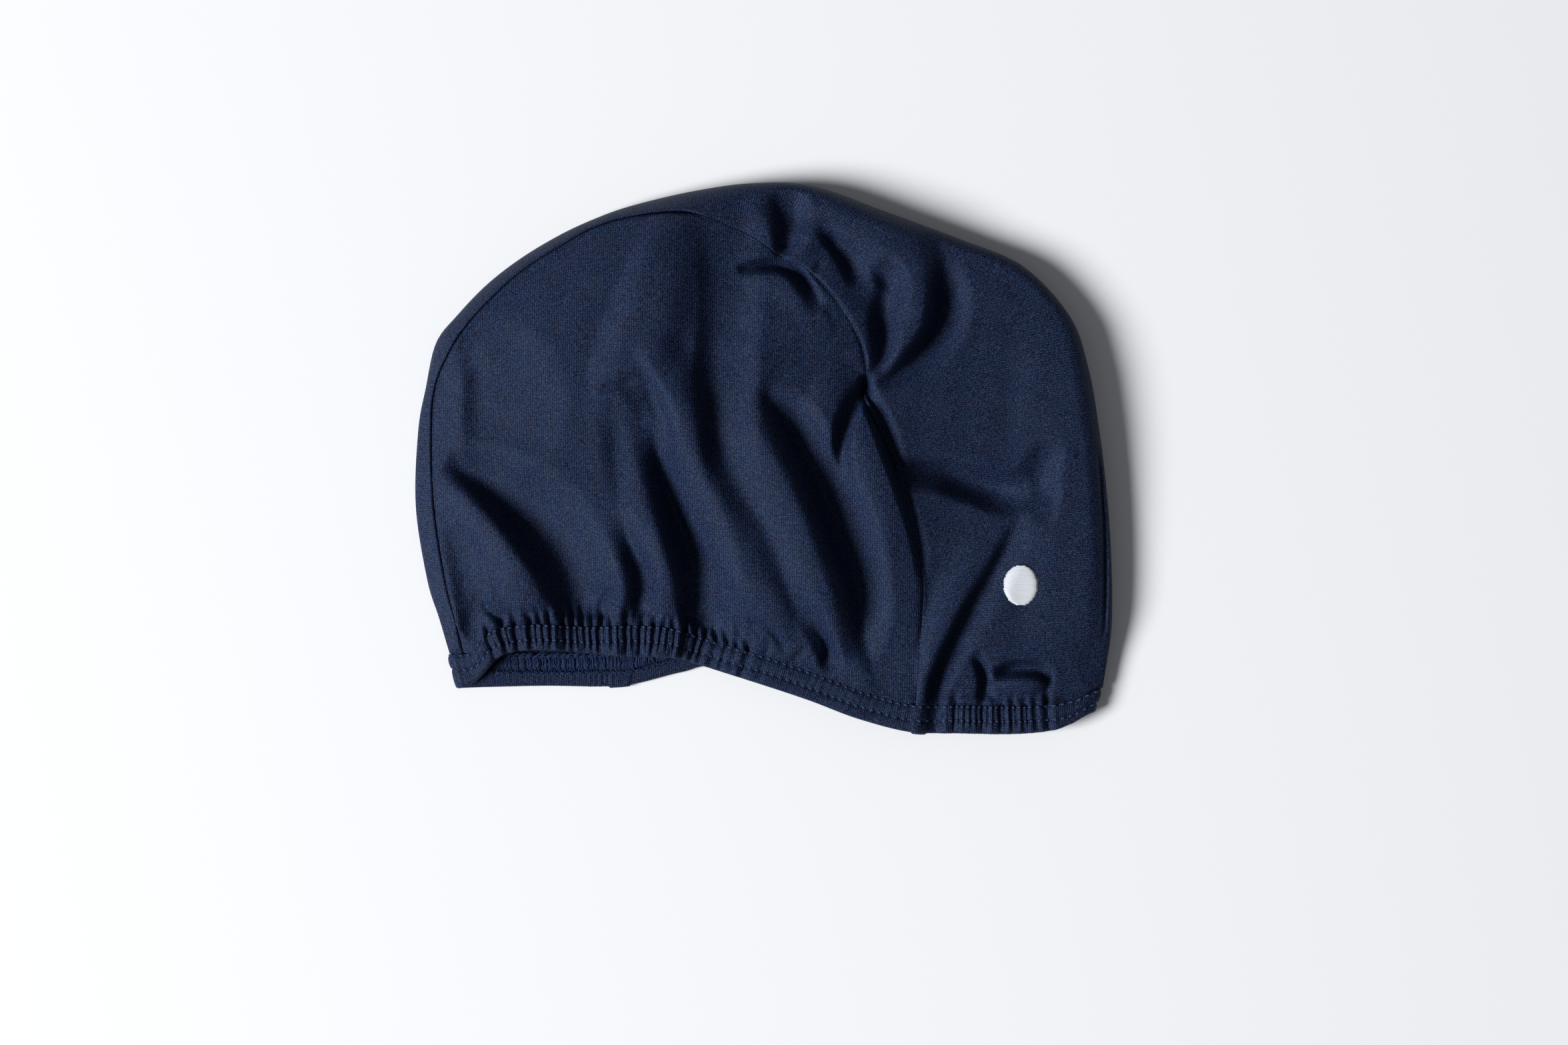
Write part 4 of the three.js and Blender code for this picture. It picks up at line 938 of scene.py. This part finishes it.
def make_hem(ring):
    """The casing as one closed ring: outer face, rounded free edge and inner face."""
    width, lower = ring["width"], HEM_ROWS[1]
    stretch = (width - HEM_FOLD - lower) / (HEM_OUTER[-1] - lower)

    def down(w):
        """The distance down the cloth, which stretches below the second row of stitches."""
        return w + np.maximum(w - lower, 0) * (stretch - 1)

    ring_w = [down(w) for w in HEM_OUTER]
    ring_t = [hem_face(ring, w) for w in ring_w]
    ring_t[0] = ring_t[0] - HEM_CORNER
    last_in = hem_face(ring, ring_w[-1], outward=False)
    last_out = ring_t[-1]
    edge_rib = rib_height(ring["number"], EDGE_DEPTH, ring["count"])
    scallop = STEP_SCALLOP * seam_step(ring) + RIB_SCALLOP * ring["rib"] * edge_rib
    for degrees in HEM_ROUND:
        a = math.radians(degrees)
        ring_w.append(width - HEM_FOLD + (HEM_FOLD + scallop) * math.sin(a))
        ring_t.append(math.cos(a) * (last_out if degrees <= 90 else last_in))
    for w in HEM_INNER:
        ring_w.append(down(w))
        ring_t.append(-hem_face(ring, down(w), outward=False))
    ring_t[-1] = ring_t[-1] + HEM_CORNER
    w = np.stack(ring_w, 1)
    t = np.stack(ring_t, 1)
    grid = ring["top"][:, None] + ring["across"][:, None] * w[:, :, None] \
        + ring["facing"][:, None] * t[:, :, None]
    grid[..., 2] = np.maximum(grid[..., 2], 0.0)
    u = np.broadcast_to(ring["s"][:, None], w.shape)
    return grid_object("hem_casing", grid, u, row_lengths(np.stack([w, t], 2)), closed=True)


# Threads
def tubes(name, paths, radii, sides=6, up=(0.0, 0.0, 1.0)):
    """One mesh of many short threads. paths: thread, point, xyz; radii: along a thread."""
    count, points = paths.shape[:2]
    tangent = np.gradient(paths, axis=1)
    tangent /= np.linalg.norm(tangent, axis=2)[..., None] + 1e-12
    side = np.cross(tangent, np.broadcast_to(up, tangent.shape))
    side /= np.linalg.norm(side, axis=2)[..., None] + 1e-12
    lift = np.cross(side, tangent)
    a = 2 * np.pi * np.arange(sides) / sides
    around = side[:, :, None] * np.cos(a)[:, None] + lift[:, :, None] * np.sin(a)[:, None]
    rings = paths[:, :, None] + around * np.broadcast_to(radii, (count, points))[:, :, None, None]
    rings[..., 2] = np.maximum(rings[..., 2], 0.0)
    one = grid_faces(points, sides, close_columns=True)[:, ::-1]
    faces = (one[None] + (np.arange(count) * points * sides)[:, None, None]).reshape(-1, 4).tolist()
    for first in range(0, count * points * sides, points * sides):
        last = first + (points - 1) * sides
        faces.append([first + i for i in range(sides)])
        faces.append([last + sides - 1 - i for i in range(sides)])
    along = np.tile(np.repeat(np.linspace(0, 1, points), sides), count)
    which = np.repeat(np.arange(count) / count, points * sides)
    return new_mesh_object(name, rings.reshape(-1, 3), faces, np.stack([along, which], 1))


def at_number(ring, number):
    """What the ring is at stitch numbers between its stations."""
    index = np.arange(len(ring["number"]))
    place = np.interp(number, ring["number"], index)
    here = {key: rows_at(place, index, ring[key]) for key in ("top", "across", "facing")}
    here.update({key: np.interp(place, index, ring[key]) for key in ("width", "rib", "x")})
    here["far"] = np.interp(place, index, ring["far"].astype(float)) > 0.5
    here["number"] = number
    here["count"] = ring["count"]
    return here


THREAD_FLOOR = 0.27           # middle of a stitch that lies against the table
STITCH_THREAD = 0.26
STITCH_REACH = 0.21           # half its length, as a share of a rib
STITCH_LIFT = 0.3
STITCH_DIVE = 0.42            # how far its ends go back down
STITCH_TAPER = 0.45
STITCH_STRAY = 0.05           # how far it lies off its row, and how far its ends do
STITCH_TILT = 0.03


def make_stitches(ring):
    """Two rows of stitches round the hem, one stitch to a rib."""
    rng = np.random.default_rng(11)
    t = np.linspace(-1, 1, 7)
    middle = np.arange(ring["count"] - 1) + 0.5
    here = at_number(ring, (middle[:, None] + STITCH_REACH * t).ravel())
    shape = (len(middle), len(t), 3)
    paths, ups = [], []
    for row in HEM_ROWS:
        w = row + rng.normal(0, STITCH_STRAY, len(middle))[:, None]
        w = (w + rng.normal(0, STITCH_TILT, len(middle))[:, None] * t).ravel()
        lift = hem_face(here, w) + STITCH_LIFT - STITCH_DIVE * np.tile(t ** 4, len(middle))
        path = here["top"] + here["across"] * w[:, None] + here["facing"] * lift[:, None]
        path[:, 2] = np.maximum(path[:, 2], THREAD_FLOOR)
        paths.append(path.reshape(shape))
        ups.append(here["facing"].reshape(shape))
    radii = STITCH_THREAD * (1 - STITCH_TAPER * np.abs(t) ** 4)
    return tubes("hem_stitches", np.concatenate(paths), radii, up=np.concatenate(ups))


# Layers of the overlock: pitch, from and to below the top edge, lean, sideways swing, bow of the
# loop down the cloth, lift, strands in a loop, their distance along and down the cloth.
OVERLOCK = (
    (2.6, -0.4, 5.8, 1.3, 0.35, 0.0, 0.0, 5, 0.40, 0.05),
    (2.6, 0.2, 5.6, -1.4, -0.35, 0.0, 0.3, 5, 0.40, -0.05),
    (2.0, 5.2, 5.4, 2.4, 0.0, 0.7, 0.4, 3, 0.15, 0.32),
    (2.4, -0.6, 0.0, 2.8, 0.0, -0.5, 0.4, 4, 0.12, 0.34),
    (2.9, 2.0, 3.2, 2.2, 0.3, 0.3, 0.55, 3, 0.1, 0.3),
)
OVERLOCK_RUN = (-106.0, 2.0)  # from x, to x
OVERLOCK_THREAD = 0.2
OVERLOCK_CLEAR = 0.15
OVERLOCK_ARCH = 0.45
OVERLOCK_TAPER = 0.35
OVERLOCK_LEANS = (0.8, 1.2)   # a strand has a share of the lean between these
START_STRAY = 0.2
RUN_STRAY = 0.08
LOOP_STRAY = 0.12


def make_overlock(ring):
    """Looped thread over the raw edge of the cloth, on the inner face of the far hem."""
    rng = np.random.default_rng(3)
    run = np.flatnonzero(ring["far"] & (ring["x"] > OVERLOCK_RUN[0]) & (ring["x"] < OVERLOCK_RUN[1]))
    s = ring["s"]
    index = np.arange(len(s))
    t = np.linspace(0, 1, 9)
    paths = []
    for pitch, top, foot, lean, swing, bow, lift, strands, apart, below in OVERLOCK:
        starts = np.arange(s[run[0]], s[run[-1]] - 2, pitch)
        strand = np.tile(np.arange(strands), len(starts))
        starts = (starts + rng.normal(0, START_STRAY, len(starts))).repeat(strands) + apart * strand
        count = len(starts)
        along = starts[:, None] + lean * t * rng.uniform(*OVERLOCK_LEANS, (count, 1))
        along += swing * np.sin(2 * np.pi * t) + rng.normal(0, RUN_STRAY, (count, 1))
        w = top + (foot - top) * t + bow * np.sin(np.pi * t) + rng.normal(0, LOOP_STRAY, (count, 1))
        w += (below * strand)[:, None]
        rise = HEM_THICK / 2 + OVERLOCK_CLEAR + lift + OVERLOCK_ARCH * np.sin(np.pi * np.tile(t, count))
        rise += rng.normal(0, LOOP_STRAY, count).repeat(len(t))
        place = np.interp(along.ravel(), s, index)
        edge, across, facing = (rows_at(place, index, ring[key]) for key in ("top", "across", "facing"))
        path = edge + across * w.ravel()[:, None] - facing * rise[:, None]
        paths.append(path.reshape(count, len(t), 3))
    radii = OVERLOCK_THREAD * (1 - OVERLOCK_TAPER * np.abs(2 * t - 1) ** 3)
    return tubes("overlock_threads", np.concatenate(paths), radii)


# Embroidered patch
MARK_CENTRE = (92.5, -45.5)
MARK_SIZE = (12.0, 14.0)
MARK_DOME = 0.75
MARK_LIFT = 0.2
MARK_PITCH = 0.42
MARK_THREAD = 0.30
MARK_SLANT = 0.12             # the two layers of threads slant against each other
MARK_LAYER = 0.06             # the second one lies this much higher
MARK_DIVE = 0.55              # how far a thread's ends go down into the cloth
MARK_ENDS = (0.35, 0.2)       # what the rows of threads stop short of, below and above
MARK_FALL = (0.9, 0.6)        # how much the dome falls toward its sides, and toward its ends
MARK_STRAY = 0.03             # a thread off its row, and its ends off the outline
MARK_END_STRAY = 0.12
LEAST_CHORD = 0.03            # square of the shortest thread's share of the width


def make_mark():
    """A plain oval of satin stitch: level threads laid side by side over a low dome."""
    rng = np.random.default_rng(8)
    half_x, half_y = MARK_SIZE[0] / 2, MARK_SIZE[1] / 2
    levels = np.arange(-half_y + MARK_ENDS[0], half_y - MARK_ENDS[1], MARK_PITCH)
    levels = levels + rng.normal(0, MARK_STRAY, len(levels))
    t = np.linspace(-1, 1, 15)
    paths = []
    for side in (-1, 1):
        for level in levels:
            share = math.sqrt(max(1 - (level / half_y) ** 2, LEAST_CHORD))
            x = (half_x * share + rng.normal(0, MARK_END_STRAY)) * t
            y = level + rng.normal(0, MARK_STRAY) + side * MARK_SLANT * t
            place = np.column_stack([MARK_CENTRE[0] + x, MARK_CENTRE[1] + y])
            fall = (x / half_x) ** 2 * MARK_FALL[0] + (level / half_y) ** 2 * MARK_FALL[1]
            inside = np.clip(1 - fall, 0.0, 1)
            z = near_height(place) + MARK_LIFT + MARK_DOME * np.sqrt(inside)
            z += max(side, 0) * MARK_LAYER - MARK_DIVE * np.abs(t) ** 10
            paths.append(np.column_stack([place, z]))
    return tubes("mark_threads", np.array(paths), MARK_THREAD, sides=8)


# Materials
def linear(r, g, b):
    """sRGB 0 to 255 as linear light."""
    def one(c):
        c /= 255
        return c / 12.92 if c <= 0.04045 else ((c + 0.055) / 1.055) ** 2.4
    return (one(r), one(g), one(b), 1.0)


NAVY = linear(21.7, 32.1, 57.4)
THREAD = linear(54, 68, 104)
OVERLOCK_NAVY = linear(25, 38, 69)
WHITE_THREAD = linear(205, 209, 216)
TABLE_WHITE = (0.86, 0.875, 0.90, 1.0)
GREY_YARN = (1.25, 1.0, 0.97)
BLUE_YARN = (0.75, 1.0, 1.03)
PAINTED_GLINT = (0.42, 0.57, 1.0)     # painted glint: what the bright specks of the knit add, paler than the cloth
SHINE = (0.6, 0.78, 1.0, 1.0)
SOFT_SPECULAR = 0.12
CLOTH_ROUGHNESS = 0.56
KNIT_PITCH = 0.79             # from one rib of the knit to the next
COURSE_PITCH = 0.62           # from one row of its stitches to the next
YARN_WOBBLE = 0.5             # how far the ribs and rows stray, and how often to a metre
WOBBLE_SCALE = 260
GRAIN_SCALE = 2100            # specks to a metre
RIB_RELIEF, COURSE_RELIEF, GRAIN_RELIEF = 0.45, 0.3, 2.0
# Tone of the knit: ribs and rows painted lighter on their crests and darker between them as painted
# glints and painted shade, and a speckled grain with painted glints
RIB_TONE, COURSE_TONE, GRAIN_TONE = 0.40, 0.28, 14.0
DARKEST_TONE = -0.8
DARKEST_SHARE = 0.06          # the knit's colour, painted shade included, is never darker than this share of the cloth's colour
HUE_SCALE = 300
HUE_DRIFT = 3.2               # how far the cloth turns to grey and to blue
TWIST_SCALE = 40


def noise(tree, place, scale, detail):
    """A noise texture read at a place."""
    node = tree.nodes.new("ShaderNodeTexNoise")
    node.inputs["Scale"].default_value = scale
    node.inputs["Detail"].default_value = detail
    tree.links.new(place, node.inputs["Vector"])
    return node


def mixed(tree, factor, first, second):
    """A colour between two colours."""
    mix = tree.nodes.new("ShaderNodeMix")
    mix.data_type = "RGBA"
    tree.links.new(factor, mix.inputs["Factor"])
    mix.inputs["A"].default_value = first
    mix.inputs["B"].default_value = second
    return mix.outputs["Result"]


def calculated(tree, kind, operation, a, b, c=None):
    """A math node over sockets and constants; kind is Math or VectorMath."""
    node = tree.nodes.new("ShaderNode" + kind)
    node.operation = operation
    for socket, value in zip(node.inputs, (a, b, c)):
        if isinstance(value, bpy.types.NodeSocket):
            tree.links.new(value, socket)
        elif value is not None:
            socket.default_value = value
    return node.outputs[0]


def new_material(name, roughness, specular):
    """A material with nodes, its tree and its shader."""
    material = bpy.data.materials.new(name)
    material.use_nodes = True
    tree = material.node_tree
    shader = tree.nodes["Principled BSDF"]
    shader.inputs["Roughness"].default_value = roughness
    shader.inputs["Specular IOR Level"].default_value = specular
    return material, tree, shader


def cloth_measures(tree):
    """The piece's own measures of cloth or thread."""
    place = tree.nodes.new("ShaderNodeUVMap")
    place.uv_map = "cloth"
    return place.outputs["UV"]


def knit_group():
    """Relief, tone and drift of hue of fine knit, from its cloth measures and its place. The tone is the
    knit's speckled grain with painted glints, and painted shade between its ribs and rows.
    """
    tree = bpy.data.node_groups.new("knit", "ShaderNodeTree")
    for name, way, kind in (("Place", "INPUT", "Vector"), ("Solid", "INPUT", "Vector"),
                            ("Relief", "OUTPUT", "Float"), ("Tone", "OUTPUT", "Float"),
                            ("Drift", "OUTPUT", "Float")):
        tree.interface.new_socket(name, in_out=way, socket_type="NodeSocket" + kind)
    start = tree.nodes.new("NodeGroupInput").outputs
    end = tree.nodes.new("NodeGroupOutput").inputs

    def math_node(operation, a, b=None):
        return calculated(tree, "Math", operation, a, b)

    def wave(distance, pitch):
        return math_node("SINE", math_node("MULTIPLY", distance, 2 * math.pi / (pitch * MM)))

    def blend(*shares):
        """Ribs, rows and grain added up by their shares."""
        parts = [math_node("MULTIPLY", part, share) for part, share in zip((rib, course, grain), shares)]
        return math_node("ADD", math_node("ADD", parts[0], parts[1]), parts[2])

    bend = noise(tree, start["Place"], WOBBLE_SCALE, 2)
    wobble = math_node("MULTIPLY", math_node("SUBTRACT", bend.outputs["Fac"], 0.5), YARN_WOBBLE * MM)
    split = tree.nodes.new("ShaderNodeSeparateXYZ")
    tree.links.new(start["Place"], split.inputs[0])
    rib = wave(math_node("ADD", split.outputs["X"], wobble), KNIT_PITCH)
    course = wave(math_node("ADD", split.outputs["Y"], wobble), COURSE_PITCH)
    speck = noise(tree, start["Solid"], GRAIN_SCALE, 3)
    speck.inputs["Roughness"].default_value = 1.0
    grain = math_node("SUBTRACT", speck.outputs["Fac"], 0.5)
    tree.links.new(blend(RIB_RELIEF, COURSE_RELIEF, GRAIN_RELIEF), end["Relief"])
    # the tone: painted glints and painted shade of the knit over its grain
    tone = blend(RIB_TONE, COURSE_TONE, GRAIN_TONE)
    tree.links.new(math_node("MAXIMUM", tone, DARKEST_TONE), end["Tone"])
    yarn = noise(tree, start["Solid"], HUE_SCALE, 2)
    drift = math_node("MULTIPLY", math_node("SUBTRACT", yarn.outputs["Fac"], 0.5), 2 * HUE_DRIFT)
    tree.links.new(math_node("ADD", drift, 0.5), end["Drift"])
    return tree


def cloth_material(name, colour, knit, relief):
    """Swim knit of a colour; relief is the height of its stitches in millimetres."""
    material, tree, shader = new_material(name, CLOTH_ROUGHNESS, SOFT_SPECULAR)
    shader.inputs["Specular Tint"].default_value = SHINE
    texture = tree.nodes.new("ShaderNodeGroup")
    texture.node_tree = knit
    tree.links.new(cloth_measures(tree), texture.inputs["Place"])
    solid = tree.nodes.new("ShaderNodeTexCoord")
    tree.links.new(solid.outputs["Object"], texture.inputs["Solid"])
    bump = tree.nodes.new("ShaderNodeBump")
    bump.inputs["Distance"].default_value = relief * MM
    tree.links.new(texture.outputs["Relief"], bump.inputs["Height"])
    tree.links.new(bump.outputs["Normal"], shader.inputs["Normal"])
    yarns = mixed(tree, texture.outputs["Drift"],
                  [c * k for c, k in zip(colour, GREY_YARN)] + [1],
                  [c * k for c, k in zip(colour, BLUE_YARN)] + [1])
    # painted glints and painted shade of the knit added to the yarn colour
    tint = calculated(tree, "VectorMath", "MULTIPLY_ADD", texture.outputs["Tone"],
                      [k * colour[2] for k in PAINTED_GLINT], yarns)
    darkest = [k * DARKEST_SHARE for k in colour[:3]]
    tree.links.new(calculated(tree, "VectorMath", "MAXIMUM", tint, darkest), shader.inputs["Base Color"])
    return material


def thread_material(name, colour, roughness, sheen, dark=0.8, light=1.15):
    """Thread of a colour, darker and lighter along its twist."""
    material, tree, shader = new_material(name, roughness, SOFT_SPECULAR)
    twist = noise(tree, cloth_measures(tree), TWIST_SCALE, 3)
    tree.links.new(mixed(tree, twist.outputs["Fac"],
                         [c * dark for c in colour[:3]] + [1],
                         [min(c * light, 1) for c in colour[:3]] + [1]), shader.inputs["Base Color"])
    shader.inputs["Sheen Weight"].default_value = sheen
    shader.inputs["Sheen Roughness"].default_value = 0.4
    return material


def table_material():
    material, _, shader = new_material("table_white", 0.7, 0.2)
    shader.inputs["Base Color"].default_value = TABLE_WHITE
    return material


# The pieces and their places
knit = knit_group()
navy = cloth_material("navy_swim_knit", NAVY, knit, relief=0.05)
navy_hem = cloth_material("navy_hem_knit", NAVY, knit, relief=0.06)
navy_thread = thread_material("navy_thread", THREAD, 0.45, 0.1)
navy_loops = thread_material("navy_overlock_thread", OVERLOCK_NAVY, 0.6, 0.02, dark=0.2, light=2.2)
white_thread = thread_material("white_thread", WHITE_THREAD, 0.5, 0.2)

hem_ring = make_hem_ring()
near_side = make_near_side()
centre = make_centre()
far_side = make_far_side()
hem = make_hem(hem_ring)
stitches = make_stitches(hem_ring)
overlock = make_overlock(hem_ring)
mark = make_mark()

for piece, material, slot_name in (
        (near_side, navy, "cloth"), (centre, navy, "cloth"), (far_side, navy, "cloth"),
        (hem, navy_hem, "hem"), (stitches, navy_thread, "hem"), (overlock, navy_loops, "hem"),
        (mark, white_thread, "embroidery")):
    piece.data.materials.append(material)
    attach(piece, "root")
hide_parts("near_side_panel")
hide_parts("centre_panel")
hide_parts("far_side_panel")
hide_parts("hem_band")
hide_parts("front_mark")


# Table, camera and light
TABLE_SIZE = 6
TABLE_DROP = 0.0002           # the table's top is a hair under the cap
PICTURE_MIDDLE = (7.84, -23.04)
PICTURE_WIDTH = 561.7         # millimetres across the picture at PICTURE_LEVEL over the table
PICTURE_LEVEL = 8.0
LENS = 100
SENSOR = 36
KEY_WAY = 15.0                # the light travels this far up from level across the picture
KEY_HEIGHT = 38.0
KEY_DISTANCE = 6.0
KEY_SIZE = 2.75
KEY_POWER = 556.0
FILL = 0.135
FILL_COLOUR = (0.95, 0.97, 1.0, 1.0)


def add_table():
    bpy.ops.object.select_all(action="DESELECT")
    bpy.ops.mesh.primitive_plane_add(size=TABLE_SIZE, location=(0, 0, -TABLE_DROP))
    floor = bpy.context.object
    floor.name = "floor"
    floor.data.materials.append(table_material())


def add_camera():
    """Straight down on the cap, from above the place that the middle of the picture shows."""
    data = bpy.data.cameras.new("camera")
    data.lens = LENS
    data.sensor_width = SENSOR
    camera = bpy.data.objects.new("camera", data)
    camera.location = ((PICTURE_MIDDLE[0] + MIDDLE[0]) * MM, (PICTURE_MIDDLE[1] + MIDDLE[1]) * MM,
                       (PICTURE_LEVEL + PICTURE_WIDTH * LENS / SENSOR) * MM)
    bpy.context.scene.collection.objects.link(camera)
    bpy.context.scene.camera = camera


def add_light():
    """One soft window light from the left, a little from below, and a weak even fill."""
    data = bpy.data.lights.new("key", "AREA")
    data.shape = "DISK"
    data.size = KEY_SIZE
    data.energy = KEY_POWER
    key = bpy.data.objects.new("key", data)
    way, height = math.radians(KEY_WAY), math.radians(KEY_HEIGHT)
    key.location = (-KEY_DISTANCE * math.cos(way) * math.cos(height),
                    -KEY_DISTANCE * math.sin(way) * math.cos(height), KEY_DISTANCE * math.sin(height))
    key.rotation_euler = (0.0, -(math.pi / 2 - height), way)
    bpy.context.scene.collection.objects.link(key)
    world = bpy.data.worlds.new("fill")
    world.use_nodes = True
    background = world.node_tree.nodes["Background"].inputs
    background["Color"].default_value = FILL_COLOUR
    background["Strength"].default_value = FILL
    bpy.context.scene.world = world


add_table()
add_camera()
add_light()
bpy.context.scene.view_settings.view_transform = "Standard"
